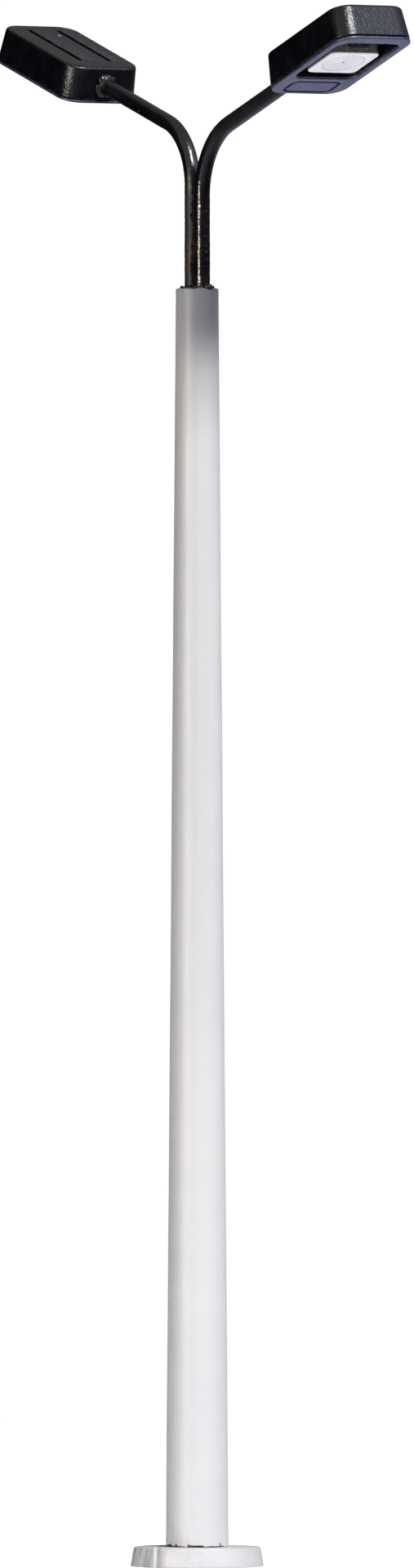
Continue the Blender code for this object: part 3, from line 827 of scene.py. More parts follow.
def make_web():
    """The whole web, from ring to ring up the groove."""
    shape = bmesh.new()
    rings = []
    steps = round((web_high.z - web_low.z) / WEB_RING_SPACING)
    for step in range(steps + 1):
        height = web_low.z + (web_high.z - web_low.z) * step / steps
        rings.append([shape.verts.new(point) for point in web_ring(height)])
    for first, second in zip(rings, rings[1:]):
        bridge(shape, first, second)
    shape.faces.new(rings[0])
    shape.faces.new(rings[-1])
    return shape


finished_piece("stem_solder", make_web(), stem_solder, ["stem_solder_web"])

# ---------------------------------------------------------------------------
# Mouth seals
# Solder and lacquer that fill the mast's mouth in front of the tubes and behind them.
# The fill climbs the tubes, and a few beads have run over the rim.
# ---------------------------------------------------------------------------
SEAL_RADIUS = MAST_BORE - TOUCHING
SEAL_COLUMNS = 48
SEAL_ROWS = 10
SEAL_CLIMB = 0.34 * MM
SEAL_SINK = 0.10 * MM
SEAL_LUMP = 0.05 * MM
SEAL_LUMP_SIZE = 0.28 * MM
BEADS = {
    "front": (
        {"angle": math.radians(-82), "reach": 1.22 * MM, "size": 0.13 * MM, "squash": 0.8},
        {"angle": math.radians(-60), "reach": 0.98 * MM, "size": 0.16 * MM, "squash": 0.7},
        {"angle": math.radians(-118), "reach": 0.92 * MM, "size": 0.14 * MM, "squash": 0.7},
    ),
    "rear": (
        {"angle": math.radians(4), "reach": 1.15 * MM, "size": 0.30 * MM, "squash": 0.75},
        {"angle": math.radians(24), "reach": 1.16 * MM, "size": 0.12 * MM, "squash": 0.9},
        {"angle": math.radians(150), "reach": 1.12 * MM, "size": 0.14 * MM, "squash": 0.8},
    ),
}


def seal_edge(x):
    """How far the tubes and the web reach from the middle plane at a given x."""
    reach = WEB_HALF_DEPTH
    for centre in (TUBE_OFFSET, -TUBE_OFFSET):
        aside = abs(x - centre)
        if aside < TUBE_RADIUS:
            reach = max(reach, math.sqrt(TUBE_RADIUS**2 - aside**2))
    return reach


def add_bead(shape, centre, size, squash):
    """A drop of solder: a squashed ball that is disturbed a little."""
    drop = bmesh.ops.create_icosphere(shape, subdivisions=3, radius=1.0)
    for vert in drop["verts"]:
        rough = 1 + 0.18 * noise.noise(vert.co * 1.7 + centre / MM)
        x, y, z = vert.co * size * rough
        vert.co = centre + Vector((x, y, z * squash))


def join_lines(shape, first, second):
    """Faces between two open lines of the same number of points."""
    for index in range(len(first) - 1):
        shape.faces.new((first[index], first[index + 1], second[index + 1], second[index]))


def make_seal(name, facing):
    """Half a ring of fill that climbs the tubes, with its beads on the rim."""
    low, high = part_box(f"mast_mouth_seal_{name}")
    widest = math.sqrt(SEAL_RADIUS**2 - WEB_HALF_DEPTH**2)
    shape = bmesh.new()
    top, bottom = [], []
    for column in range(SEAL_COLUMNS + 1):
        x = -widest * math.cos(math.pi * column / SEAL_COLUMNS)
        inner = seal_edge(x) - TOUCHING
        outer = max(inner, math.sqrt(SEAL_RADIUS**2 - x * x))
        top_row, bottom_row = [], []
        for row in range(SEAL_ROWS + 1):
            share = row / SEAL_ROWS
            y = facing * (inner + share * (outer - inner))
            rough = noise.noise(Vector((x, y, 0)) / SEAL_LUMP_SIZE)
            climb = SEAL_CLIMB * (1 - share) ** 2.2 * (0.75 + 0.5 * rough)
            height = high.z - SEAL_SINK + climb + SEAL_LUMP * rough
            top_row.append(shape.verts.new((x, y, height)))
            bottom_row.append(shape.verts.new((x, y, low.z)))
        top.append(top_row)
        bottom.append(bottom_row)
    for layer in (top, bottom):
        for first, second in zip(layer, layer[1:]):
            join_lines(shape, first, second)
    for row in (0, -1):
        upper, lower = [line[row] for line in top], [line[row] for line in bottom]
        join_lines(shape, upper, lower)
    for column in (0, -1):
        join_lines(shape, top[column], bottom[column])
    for bead in BEADS[name]:
        x, y = bead["reach"] * math.cos(bead["angle"]), bead["reach"] * math.sin(bead["angle"])
        add_bead(shape, Vector((x, y, high.z)), bead["size"], bead["squash"])
    return shape


for name, facing in (("front", -1), ("rear", 1)):
    finished_piece(
        f"mouth_seal_{name}",
        make_seal(name, facing),
        stem_solder,
        [f"mast_mouth_seal_{name}"],
    )

# ---------------------------------------------------------------------------
# Head housings
# Injection-moulded shells in fine-grained black plastic, tapered for the mould. Two
# cooling slots are cut in the top, and the underside is open for the LED and a tray.
# ---------------------------------------------------------------------------
HEAD_WIDTH = 5.42 * MM
HEAD_CORNER = 1.18 * MM
HEAD_DRAFT_LENGTH = 0.38 * MM
HEAD_DRAFT_WIDTH = 0.24 * MM
HEAD_EDGE = 0.19 * MM
HEAD_UNDERSIDE = -HEAD_THICKNESS / 2
FRAME_SEAM = 0.08 * MM
FRAME_EDGE = 0.05 * MM
CORNER_STEPS = 14
EDGE_STEPS = 5
MOUTH_STEPS = 3

RECESS_LENGTH = 6.08 * MM
RECESS_WIDTH = 4.46 * MM
RECESS_CENTRE = 0.82 * MM
RECESS_CEILING = HEAD_UNDERSIDE + 1.20 * MM
RECESS_CORNER = 0.80 * MM
RECESS_INNER_WALL = RECESS_CENTRE - RECESS_LENGTH / 2

SLOT_LENGTH = 6.84 * MM
SLOT_WIDTH = 0.32 * MM
SLOT_DEPTH = 0.30 * MM
SLOT_CENTRE = 0.27 * MM
SLOT_SPACING = 2.12 * MM
SLOT_EDGE = 0.035 * MM
SLOT_CORNER = 0.45 * SLOT_WIDTH

COVER_LENGTH = 1.52 * MM
COVER_WIDTH = 3.17 * MM
COVER_THICKNESS = 0.30 * MM
COVER_CENTRE = -3.575 * MM
COVER_CORNER = 0.40 * MM
COVER_GROOVE = 0.17 * MM
POCKET_ROOF = HEAD_UNDERSIDE + COVER_THICKNESS + 0.02 * MM

BOARD_UNDERSIDE = RECESS_CEILING - 0.32 * MM
CHANNEL_WIDTH = 0.72 * MM
CHANNEL_DEPTH = 0.20 * MM
CHANNEL_CORNER = 0.10 * MM
CHANNEL_OVERLAP_SOCKET = 0.15 * MM
CHANNEL_OVERLAP_RECESS = 0.20 * MM
SOCKET_CLEARANCE = 0.04 * MM
SOCKET_OVERRUN = 1.0 * MM


def rounded_outline(length, width, corner, centre_x=0.0, centre_y=0.0):
    """Corner points of a rounded rectangle, anticlockwise from the +X side."""
    points = []
    for quarter, (along, across) in enumerate(((1, 1), (-1, 1), (-1, -1), (1, -1))):
        middle_x = centre_x + along * (length / 2 - corner)
        middle_y = centre_y + across * (width / 2 - corner)
        for step in range(CORNER_STEPS + 1):
            angle = math.radians(90) * (quarter + step / CORNER_STEPS)
            points.append((middle_x + corner * math.cos(angle), middle_y + corner * math.sin(angle)))
    return points


def quarter_turns(steps=EDGE_STEPS):
    """Even steps through a right angle."""
    return [math.radians(90) * step / steps for step in range(steps + 1)]


def rounded_edge(start, into, edge, steps=EDGE_STEPS):
    """Heights and insets that round off an edge; into is 1 to go up from start, -1 to go down."""
    turns = quarter_turns(steps)
    return [(start + into * edge * (1 - math.cos(turn)), edge * (1 - math.sin(turn))) for turn in turns]


def add_levels(shape, levels):
    """Rings of points through outlines at given heights, joined by faces."""
    rings = [[shape.verts.new((x, y, height)) for x, y in outline] for outline, height in levels]
    for first, second in zip(rings, rings[1:]):
        bridge(shape, first, second)
    return rings


def ring_edges(shape, ring):
    """The edges round a ring."""
    edges = []
    for first, second in zip(ring, ring[1:] + ring[:1]):
        edges.append(shape.edges.get((first, second)) or shape.edges.new((first, second)))
    return edges


def fill_between(shape, rings):
    """A flat face bounded by the first ring and pierced by the others."""
    edges = [edge for ring in rings for edge in ring_edges(shape, ring)]
    bmesh.ops.triangle_fill(shape, use_beauty=True, edges=edges)


def opening_levels(length, width, corner, centre_x, centre_y, start, stop, edge):
    """Wall of an opening, from its rounded-off mouth at start to its far end at stop."""
    into = 1 if stop > start else -1
    levels = []
    for height, grow in rounded_edge(start, into, edge, MOUTH_STEPS):
        outline = rounded_outline(length + 2 * grow, width + 2 * grow, corner + grow, centre_x, centre_y)
        levels.append((outline, height))
    levels.append((rounded_outline(length, width, corner, centre_x, centre_y), stop))
    return levels


def recess_levels(start, stop, edge):
    """Wall of the light recess between two heights."""
    return opening_levels(RECESS_LENGTH, RECESS_WIDTH, RECESS_CORNER, RECESS_CENTRE, 0, start, stop, edge)


def pocket_levels(start, stop, edge):
    """Wall of the pocket that takes the tray cover and the groove round it."""
    length = COVER_LENGTH + 2 * COVER_GROOVE
    width = COVER_WIDTH + 2 * COVER_GROOVE
    corner = COVER_CORNER + COVER_GROOVE
    return opening_levels(length, width, corner, COVER_CENTRE, 0, start, stop, edge)


def cut_out(piece, tool_shape):
    """Take a tool shape out of a piece and keep the result as the piece's own mesh."""
    tool = new_object("cutting_tool", tool_shape)
    tool.matrix_world = piece.matrix_world
    piece.modifiers.remove(piece.modifiers["even_shading"])
    cut = piece.modifiers.new("cut", "BOOLEAN")
    cut.operation = "DIFFERENCE"
    cut.object = tool
    bpy.context.view_layer.update()
    evaluated = piece.evaluated_get(bpy.context.evaluated_depsgraph_get())
    piece.data = bpy.data.meshes.new_from_object(evaluated)
    piece.modifiers.remove(cut)
    bpy.data.objects.remove(tool)
    keep_faces_even(piece)


def make_housing_shape():
    """A tapered shell with its recess, cover pocket and two slots, still without the tube's socket."""
    shape = bmesh.new()
    low = HEAD_UNDERSIDE + FRAME_THICKNESS + FRAME_SEAM
    high = HEAD_UNDERSIDE + HEAD_THICKNESS
    wall = rounded_edge(low, 1, FRAME_EDGE)
    crown = rounded_edge(high, -1, HEAD_EDGE)
    levels = []
    for height, inset in wall + crown[::-1]:
        share = (height - HEAD_UNDERSIDE) / HEAD_THICKNESS
        length = HEAD_LENGTH - share * HEAD_DRAFT_LENGTH - 2 * inset
        width = HEAD_WIDTH - share * HEAD_DRAFT_WIDTH - 2 * inset
        levels.append((rounded_outline(length, width, HEAD_CORNER - inset), height))
    shell = add_levels(shape, levels)

    recess = add_levels(shape, recess_levels(low, RECESS_CEILING, FRAME_EDGE / 2))
    pocket = add_levels(shape, pocket_levels(low, POCKET_ROOF, FRAME_EDGE / 5))
    slots = []
    for across in (-SLOT_SPACING / 2, SLOT_SPACING / 2):
        levels = opening_levels(
            SLOT_LENGTH, SLOT_WIDTH, SLOT_CORNER, SLOT_CENTRE, across, high, high - SLOT_DEPTH, SLOT_EDGE
        )
        slots.append(add_levels(shape, levels))
    fill_between(shape, [shell[0], recess[0], pocket[0]])
    fill_between(shape, [shell[-1], *(slot[0] for slot in slots)])
    for opening in (recess, pocket, *slots):
        fill_between(shape, [opening[-1]])
    return shape


def make_socket(arm):
    """Tool for the round socket that takes the end of the tube."""
    inner_end = -HEAD_LENGTH / 2
    reach = TUBE_RADIUS - TOUCHING
    shape = bmesh.new()
    rings = []
    for x in (inner_end - SOCKET_OVERRUN, inner_end + TUBE_IN_HEAD + SOCKET_CLEARANCE):
        ring = []
        for side in range(TUBE_SIDES):
            angle = math.tau * side / TUBE_SIDES
            spot = (x, reach * math.cos(angle), arm["entry"] + reach * math.sin(angle))
            ring.append(shape.verts.new(spot))
        rings.append(ring)
    bridge(shape, *rings)
    shape.faces.new(rings[0])
    shape.faces.new(rings[1])
    return shape


def make_channel():
    """Tool for the channel that leads the wires from the tube's socket to the light recess."""
    start = TUBE_IN_HEAD - HEAD_LENGTH / 2 - CHANNEL_OVERLAP_SOCKET
    stop = RECESS_INNER_WALL + CHANNEL_OVERLAP_RECESS
    outline = rounded_outline(stop - start, CHANNEL_WIDTH, CHANNEL_CORNER, (start + stop) / 2)
    floor, roof = BOARD_UNDERSIDE - CHANNEL_DEPTH, RECESS_CEILING - 2 * TOUCHING
    shape = bmesh.new()
    rings = add_levels(shape, [(outline, floor), (outline, roof)])
    shape.faces.new(rings[0])
    shape.faces.new(rings[1])
    return shape


head_plastic, *_ = start_material(
    "grained_head_plastic",
    {
        "Colour": (0.0018, 0.0020, 0.0032),
        "Cloud Colour": (0.0040, 0.0038, 0.0054),
        "Cloud Size": 1.3,
        "Grain Size": 0.12,
        "Roughness": 0.27,
        "Roughness Spread": 0.20,
    },
    relief=0.028 * MM,
    wear={"Worn Colour": (0.05, 0.05, 0.06), "Wear": 0.7},
    dust={"Dust Colour": (0.85, 0.85, 0.88), "Spacing": 2.3, "Speck Size": 0.15, "Share": 0.35},
    specular_ior_level=0.36,
)
for side, arm in ARMS.items():
    housing = finished_piece(
        f"head_shell_{side}",
        make_housing_shape(),
        head_plastic,
        [f"head_housing_{side}"],
        head_place(side),
        flat_faces=True,
    )
    cut_out(housing, make_socket(arm))
    cut_out(housing, make_channel())

# ---------------------------------------------------------------------------
# Light frames
# A thin moulded plate under each shell, in a slightly lighter slate plastic. It
# borders the light recess and the gear tray, and its rim catches the light.
# ---------------------------------------------------------------------------
FRAME_INSET = 0.03 * MM
FRAME_OPENING_EDGE = 0.045 * MM

frame_plastic, *_ = start_material(
    "slate_frame_plastic",
    {
        "Colour": (0.034, 0.040, 0.092),
        "Cloud Colour": (0.044, 0.048, 0.100),
        "Cloud Size": 0.8,
        "Grain Size": 0.10,
        "Roughness": 0.40,
        "Roughness Spread": 0.16,
    },
    relief=0.010 * MM,
    wear={"Worn Colour": (0.17, 0.18, 0.21), "Wear": 0.6},
)


def make_frame_shape():
    """A thin plate, rounded off all round, with the two openings in it."""
    shape = bmesh.new()
    low = HEAD_UNDERSIDE
    high = HEAD_UNDERSIDE + FRAME_THICKNESS
    levels = []
    for height, rounding in rounded_edge(low, 1, FRAME_EDGE) + rounded_edge(high, -1, FRAME_EDGE)[::-1]:
        inset = rounding + FRAME_INSET
        outline = rounded_outline(HEAD_LENGTH - 2 * inset, HEAD_WIDTH - 2 * inset, HEAD_CORNER - inset)
        levels.append((outline, height))
    plate = add_levels(shape, levels)
    recess = add_levels(shape, recess_levels(low, high, FRAME_OPENING_EDGE))
    pocket = add_levels(shape, pocket_levels(low, high, FRAME_OPENING_EDGE / 2))
    fill_between(shape, [plate[0], recess[0], pocket[0]])
    fill_between(shape, [plate[-1], recess[-1], pocket[-1]])
    return shape


for side in ARMS:
    finished_piece(
        f"light_border_{side}",
        make_frame_shape(),
        frame_plastic,
        [f"light_frame_{side}"],
        head_place(side),
        flat_faces=True,
    )

# ---------------------------------------------------------------------------
# Gear-tray covers
# Small push-in plates that close the pocket beside the arm. They are moulded in the
# same plastic, a touch more violet, and a dark groove runs all round them, where the plates' walls carry
# painted shade.
# ---------------------------------------------------------------------------
COVER_EDGE = 0.07 * MM

cover_plastic, cover_tree, cover_shader, cover_colour = start_material(
    "violet_cover_plastic",
    {
        "Colour": (0.036, 0.039, 0.098),
        "Cloud Colour": (0.048, 0.048, 0.108),
        "Cloud Size": 0.5,
        "Grain Size": 0.09,
        "Roughness": 0.42,
        "Roughness Spread": 0.20,
    },
    relief=0.012 * MM,
    wear={"Worn Colour": (0.15, 0.15, 0.19), "Wear": 0.5},
)

# Painted shade on the plate's walls inside the groove.
GROOVE_PAINTED_SHADE = (0.003, 0.003, 0.005)
GROOVE_PAINTED_SHADE_FROM = (HEAD_UNDERSIDE + 0.03 * MM, HEAD_UNDERSIDE + 0.07 * MM)


def add_groove_painted_shade(tree, shader, colour):
    """Painted shade: the plate's walls in the groove round it are darkened."""
    height = add_axes(tree, add_spot(tree))["Z"]
    colour = add_stain(tree, colour, GROOVE_PAINTED_SHADE, add_range(tree, height, *GROOVE_PAINTED_SHADE_FROM))
    tree.links.new(colour, shader.inputs["Base Color"])


add_groove_painted_shade(cover_tree, cover_shader, cover_colour)


def make_rounded_plate(length, width, corner, low, high, edge, centre_x=0.0, centre_y=0.0):
    """A rounded plate with a crowned lower edge and a square upper one."""
    shape = bmesh.new()
    levels = []
    for height, inset in rounded_edge(low, 1, edge):
        outline = rounded_outline(length - 2 * inset, width - 2 * inset, corner - inset, centre_x, centre_y)
        levels.append((outline, height))
    levels.append((rounded_outline(length, width, corner, centre_x, centre_y), high))
    rings = add_levels(shape, levels)
    fill_between(shape, [rings[0]])
    fill_between(shape, [rings[-1]])
    return shape


for side in ARMS:
    finished_piece(
        f"tray_cover_{side}",
        make_rounded_plate(
            COVER_LENGTH,
            COVER_WIDTH,
            COVER_CORNER,
            HEAD_UNDERSIDE,
            HEAD_UNDERSIDE + COVER_THICKNESS,
            COVER_EDGE,
            COVER_CENTRE,
        ),
        cover_plastic,
        [f"gear_tray_cover_{side}"],
        head_place(side),
        flat_faces=True,
    )

# ---------------------------------------------------------------------------
# Arm glue
# Instant glue run round each tube where it enters the head. It set glossy and lumpy,
# and it spreads a little over the end wall of the shell.
# ---------------------------------------------------------------------------
GLUE_LENGTH = 0.56 * MM
GLUE_FOOT = 0.73 * MM
GLUE_LIP = 0.515 * MM
GLUE_SIDES = 72
GLUE_RINGS = 18
GLUE_INNER_RADIUS = TUBE_RADIUS - 0.03 * MM
GLUE_GAP = 0.01 * MM

glue, *_ = start_material(
    "black_glue",
    {
        "Colour": (0.004, 0.004, 0.005),
        "Cloud Colour": (0.010, 0.010, 0.012),
        "Cloud Size": 0.5,
        "Grain Size": 0.16,
        "Roughness": 0.10,
        "Roughness Spread": 0.08,
    },
    relief=0.034 * MM,
)


def make_glue(seed):
    """A fillet round the tube, wide and lumpy against the head, thin along the tube."""

    def lumpy(radius, angle, height):
        if radius < TUBE_RADIUS:
            return radius, height
        rough = wave(angle, turns=1.9, seed=seed, height=height, rise=0.35 * MM)
        rough += 0.5 * wave(angle, turns=5.0, seed=seed + 3, height=height, rise=0.16 * MM)
        share = (radius - TUBE_RADIUS) / (GLUE_FOOT - TUBE_RADIUS)
        return radius + (0.02 + 0.16 * share) * MM * rough, height

    outline = [(GLUE_INNER_RADIUS, 0.0), (GLUE_FOOT * 0.9, 0.0)]
    for ring in range(GLUE_RINGS + 1):
        share = ring / GLUE_RINGS
        radius = GLUE_LIP + (GLUE_FOOT - GLUE_LIP) * (1 - share) ** 1.7
        outline.append((radius, GLUE_GAP + GLUE_LENGTH * share))
    outline.append((GLUE_INNER_RADIUS, GLUE_GAP + GLUE_LENGTH))
    return turned(outline, GLUE_SIDES, lumpy)


for side, arm in ARMS.items():
    inner_end = Matrix.Translation((-HEAD_LENGTH / 2, 0, arm["entry"]))
    along_arm = Matrix.Rotation(math.radians(-90), 4, "Y")
    finished_piece(
        f"arm_glue_{side}",
        make_glue(arm["seed"]),
        glue,
        [f"arm_glue_collar_{side}"],
        head_place(side) @ inner_end @ along_arm,
    )

# ---------------------------------------------------------------------------
# LED boards
# Black glass-fibre boards glued to the roof of the recess. The solder mask shows the
# weave faintly, and the wire joints sit at the board's inner end.
# ---------------------------------------------------------------------------
BOARD_CLEARANCE = 0.06 * MM
BOARD_THICKNESS = 0.30 * MM
BOARD_EDGE = 0.02 * MM

circuit_board, board_tree, board_shader, _ = start_material(
    "black_circuit_board",
    {
        "Colour": (0.006, 0.007, 0.008),
        "Cloud Colour": (0.011, 0.012, 0.012),
        "Cloud Size": 0.6,
        "Grain Size": 0.08,
        "Roughness": 0.42,
        "Roughness Spread": 0.12,
    },
    relief=0.004 * MM,
)


def add_glass_weave(tree, shader):
    """Threads of glass cloth that show as faint relief under the mask."""
    spot = add_spot(tree)
    threads = []
    for direction in ("X", "Y"):
        wavy = tree.nodes.new("ShaderNodeTexWave")
        wavy.bands_direction = direction
        wavy.inputs["Scale"].default_value = 0.5 / MM
        wavy.inputs["Distortion"].default_value = 0.4
        tree.links.new(spot, wavy.inputs["Vector"])
        threads.append(wavy.outputs["Fac"])
    add_bump(tree, shader, add_math(tree, "MULTIPLY", *threads), depth=0.004 * MM)


add_glass_weave(board_tree, board_shader)
for side in ARMS:
    finished_piece(
        f"circuit_board_{side}",
        make_rounded_plate(
            RECESS_LENGTH - 2 * BOARD_CLEARANCE,
            RECESS_WIDTH - 2 * BOARD_CLEARANCE,
            RECESS_CORNER,
            BOARD_UNDERSIDE,
            BOARD_UNDERSIDE + BOARD_THICKNESS,
            BOARD_EDGE,
            RECESS_CENTRE,
        ),
        circuit_board,
        [f"led_board_{side}"],
        head_place(side),
        flat_faces=True,
    )

# ---------------------------------------------------------------------------
# LED packages
# White thermoplastic mouldings, square with rounded corners, that hold the gel in a
# round well. Their side walls are rough where they left the mould and painted darker as
# shade, and the white face carries a faint painted glow, though the LED is unlit.
# ---------------------------------------------------------------------------
CHIP_LENGTH = 3.34 * MM
CHIP_WIDTH = 3.50 * MM
CHIP_OFFSET = 0.22 * MM
CHIP_CORNER = 0.45 * MM
CHIP_TOP = BOARD_UNDERSIDE - 0.02 * MM
CHIP_FACE = CHIP_TOP - 0.66 * MM
CHIP_EDGE = 0.07 * MM
WELL_RADIUS = 1.35 * MM
WELL_DEPTH = 0.30 * MM
WELL_EDGE = 0.03 * MM
WELL_SIDES = 96

led_moulding, chip_tree, chip_shader, chip_colour = start_material(
    "led_white_moulding",
    {
        "Colour": (0.82, 0.81, 0.83),
        "Cloud Colour": (0.74, 0.72, 0.75),
        "Cloud Size": 0.9,
        "Grain Size": 0.12,
        "Roughness": 0.38,
        "Roughness Spread": 0.12,
    },
    relief=0.006 * MM,
    # Painted light: a faint glow on the white face, though the LED is unlit.
    emission_strength=0.30,
)

CHIP_WALL_FROM = (CHIP_FACE + 0.03 * MM, CHIP_FACE + 0.10 * MM)
# Painted shade on the package's side walls, mottled between these two greys.
CHIP_WALL_PAINTED_SHADE_DARK = (0.24, 0.215, 0.225)
CHIP_WALL_PAINTED_SHADE_PALE = (0.46, 0.42, 0.43)
# Painted light: the glow colour of the face.
CHIP_PAINTED_GLOW = (1.0, 0.98, 1.0)
BLACK = (0.0, 0.0, 0.0)


def add_shaded_walls_and_painted_glow(tree, shader, colour):
    """Painted shade: the side walls are darker and mottled; painted light: the clean white face glows
    faintly, though the LED is unlit.
    """
    spot = add_spot(tree)
    wall = add_range(tree, add_axes(tree, spot)["Z"], *CHIP_WALL_FROM)
    mottle = add_range(tree, add_noise(tree, spot, size_mm=0.16, detail=2.0), 0.35, 0.65)
    # Painted shade on the side walls.
    dull = add_mix(tree, mottle, CHIP_WALL_PAINTED_SHADE_DARK, CHIP_WALL_PAINTED_SHADE_PALE)
    tree.links.new(add_mix(tree, wall, colour, dull), shader.inputs["Base Color"])
    # Painted light: the face glows, the walls do not.
    tree.links.new(add_mix(tree, wall, CHIP_PAINTED_GLOW, BLACK), shader.inputs["Emission Color"])


add_shaded_walls_and_painted_glow(chip_tree, chip_shader, chip_colour)


def chip_outline(inset=0.0):
    """Outline of the package, drawn in by an inset."""
    length, width = CHIP_LENGTH - 2 * inset, CHIP_WIDTH - 2 * inset
    return rounded_outline(length, width, CHIP_CORNER - inset, 0, CHIP_OFFSET)


def well_circle(radius):
    """A circle round the middle of the well."""
    turns = [math.tau * side / WELL_SIDES for side in range(WELL_SIDES)]
    return [(radius * math.cos(turn), CHIP_OFFSET + radius * math.sin(turn)) for turn in turns]


def make_chip_shape():
    """The package: a rounded block with a round well in its lower face."""
    shape = bmesh.new()
    levels = [(chip_outline(inset), height) for height, inset in rounded_edge(CHIP_FACE, 1, CHIP_EDGE)]
    body = add_levels(shape, [*levels, (chip_outline(), CHIP_TOP)])
    mouth = rounded_edge(CHIP_FACE, 1, WELL_EDGE, MOUTH_STEPS)
    levels = [(well_circle(WELL_RADIUS + grow), height) for height, grow in mouth]
    well = add_levels(shape, [*levels, (well_circle(WELL_RADIUS), CHIP_FACE + WELL_DEPTH)])
    fill_between(shape, [body[0], well[0]])
    fill_between(shape, [body[-1]])
    fill_between(shape, [well[-1]])
    return shape


for side in ARMS:
    finished_piece(
        f"led_body_{side}",
        make_chip_shape(),
        led_moulding,
        [f"led_package_{side}"],
        head_place(side),
        flat_faces=True,
    )

# ---------------------------------------------------------------------------
# LED gel
# Milky silicone poured into the well. It shrank a little as it set, so it is dished,
# and a small dimple marks where the dosing needle was drawn off.
# ---------------------------------------------------------------------------
GEL_RADIUS = WELL_RADIUS - 0.005 * MM
GEL_DISH = 0.035 * MM
GEL_DIMPLE = 0.03 * MM
GEL_DIMPLE_RADIUS = 0.05 * MM
GEL_SINK = 0.02 * MM
GEL_TOP = CHIP_FACE + WELL_DEPTH - 0.01 * MM
GEL_RINGS = 30

led_gel, gel_tree, gel_shader, gel_colour = start_material(
    "led_milky_gel",
    {
        "Colour": (0.78, 0.76, 0.78),
        "Cloud Colour": (0.71, 0.69, 0.715),
        "Cloud Size": 1.2,
        "Grain Size": 0.20,
        "Roughness": 0.26,
        "Roughness Spread": 0.08,
    },
    relief=0.004 * MM,
    # Painted light: a faint glow on the gel, though the LED is unlit.
    emission_strength=0.30,
)

NEEDLE_MARK_COLOUR = (0.10, 0.08, 0.09)
NEEDLE_MARK_FADE = (0.07 * MM, 0.15 * MM)
# Painted shade in a ring where the gel meets the well wall.
GEL_RIM_PAINTED_SHADE = (0.30, 0.28, 0.30)
GEL_RIM_PAINTED_SHADE_FROM = (1.20 * MM, 1.33 * MM)


def add_needle_mark_rim_shade_and_glow(tree, shader, colour):
    """A small dark spot in the middle of the gel and a greyer rim of painted shade; the same colour also
    feeds a faint painted glow, though the LED is unlit.
    """
    reach = add_measure(tree, "DISTANCE", add_spot(tree), (0, CHIP_OFFSET, CHIP_FACE))
    # Painted shade at the gel's rim.
    colour = add_stain(tree, colour, GEL_RIM_PAINTED_SHADE, add_range(tree, reach, *GEL_RIM_PAINTED_SHADE_FROM, 0.0, 0.5))
    colour = add_stain(tree, colour, NEEDLE_MARK_COLOUR, add_fall(tree, reach, *NEEDLE_MARK_FADE))
    tree.links.new(colour, shader.inputs["Base Color"])
    # Painted light: the gel's colour also glows.
    tree.links.new(colour, shader.inputs["Emission Color"])


add_needle_mark_rim_shade_and_glow(gel_tree, gel_shader, gel_colour)


def make_gel_shape():
    """A disc whose lower face is dished and dimpled, closed by a flat upper face."""
    shape = bmesh.new()
    levels = []
    for ring in range(GEL_RINGS):
        radius = GEL_RADIUS * ((ring + 1) / GEL_RINGS) ** 1.6
        dish = GEL_DISH * (1 - (radius / GEL_RADIUS) ** 2)
        dimple = GEL_DIMPLE * math.exp(-((radius / GEL_DIMPLE_RADIUS) ** 2))
        levels.append((well_circle(radius), CHIP_FACE + GEL_SINK + dish + dimple))
    rings = add_levels(shape, [*levels, (well_circle(GEL_RADIUS), GEL_TOP)])
    fill_between(shape, [rings[0]])
    fill_between(shape, [rings[-1]])
    return shape


for side in ARMS:
    finished_piece(
        f"gel_fill_{side}",
        make_gel_shape(),
        led_gel,
        [f"led_gel_{side}"],
        head_place(side),
    )

# ---------------------------------------------------------------------------
# LED leads and wire joints
# Tinned copper tabs at both ends of each package, and two hand-made solder domes on
# the board that hold the feed wires.
# ---------------------------------------------------------------------------
LEAD_LENGTH = 0.26 * MM
LEAD_WIDTH = 1.80 * MM
LEAD_HEIGHT = 0.40 * MM
LEAD_TAPER = 0.80
LEAD_CORNER = 0.06 * MM
LEAD_EDGE = 0.05 * MM
LEAD_GAP = 0.02 * MM
LEAD_SHOULDER = 0.14 * MM
JOINT_RADIUS = 0.17 * MM
JOINT_HEIGHT = 0.22 * MM
JOINT_SPREAD = 1.45 * MM
JOINT_INSET = 0.27 * MM
JOINT_CENTRE_HOLE = 0.002 * MM
JOINT_SIDES = 28
JOINT_RINGS = 10

tin, *_ = start_material(
    "tinned_copper",
    {
        "Colour": (0.36, 0.33, 0.34),
        "Cloud Colour": (0.20, 0.18, 0.18),
        "Cloud Size": 0.18,
        "Grain Size": 0.07,
        "Roughness": 0.38,
        "Roughness Spread": 0.20,
    },
    relief=0.008 * MM,
    metallic=0.85,
)


def make_lead_shape(along):
    """A tab that narrows toward its tip, with its tip rounded off."""
    shape = bmesh.new()
    centre = along * (CHIP_LENGTH / 2 + LEAD_GAP + LEAD_LENGTH / 2)
    levels = []
    for height, inset in rounded_edge(BOARD_UNDERSIDE - LEAD_HEIGHT, 1, LEAD_EDGE, 4):
        length = LEAD_TAPER * LEAD_LENGTH - 2 * inset
        width = LEAD_TAPER * LEAD_WIDTH - 2 * inset
        levels.append((rounded_outline(length, width, LEAD_CORNER, centre, CHIP_OFFSET), height))
    wide = rounded_outline(LEAD_LENGTH, LEAD_WIDTH, LEAD_CORNER, centre, CHIP_OFFSET)
    levels.append((wide, BOARD_UNDERSIDE - LEAD_SHOULDER))
    levels.append((wide, CHIP_TOP))
    rings = add_levels(shape, levels)
    fill_between(shape, [rings[0]])
    fill_between(shape, [rings[-1]])
    return shape


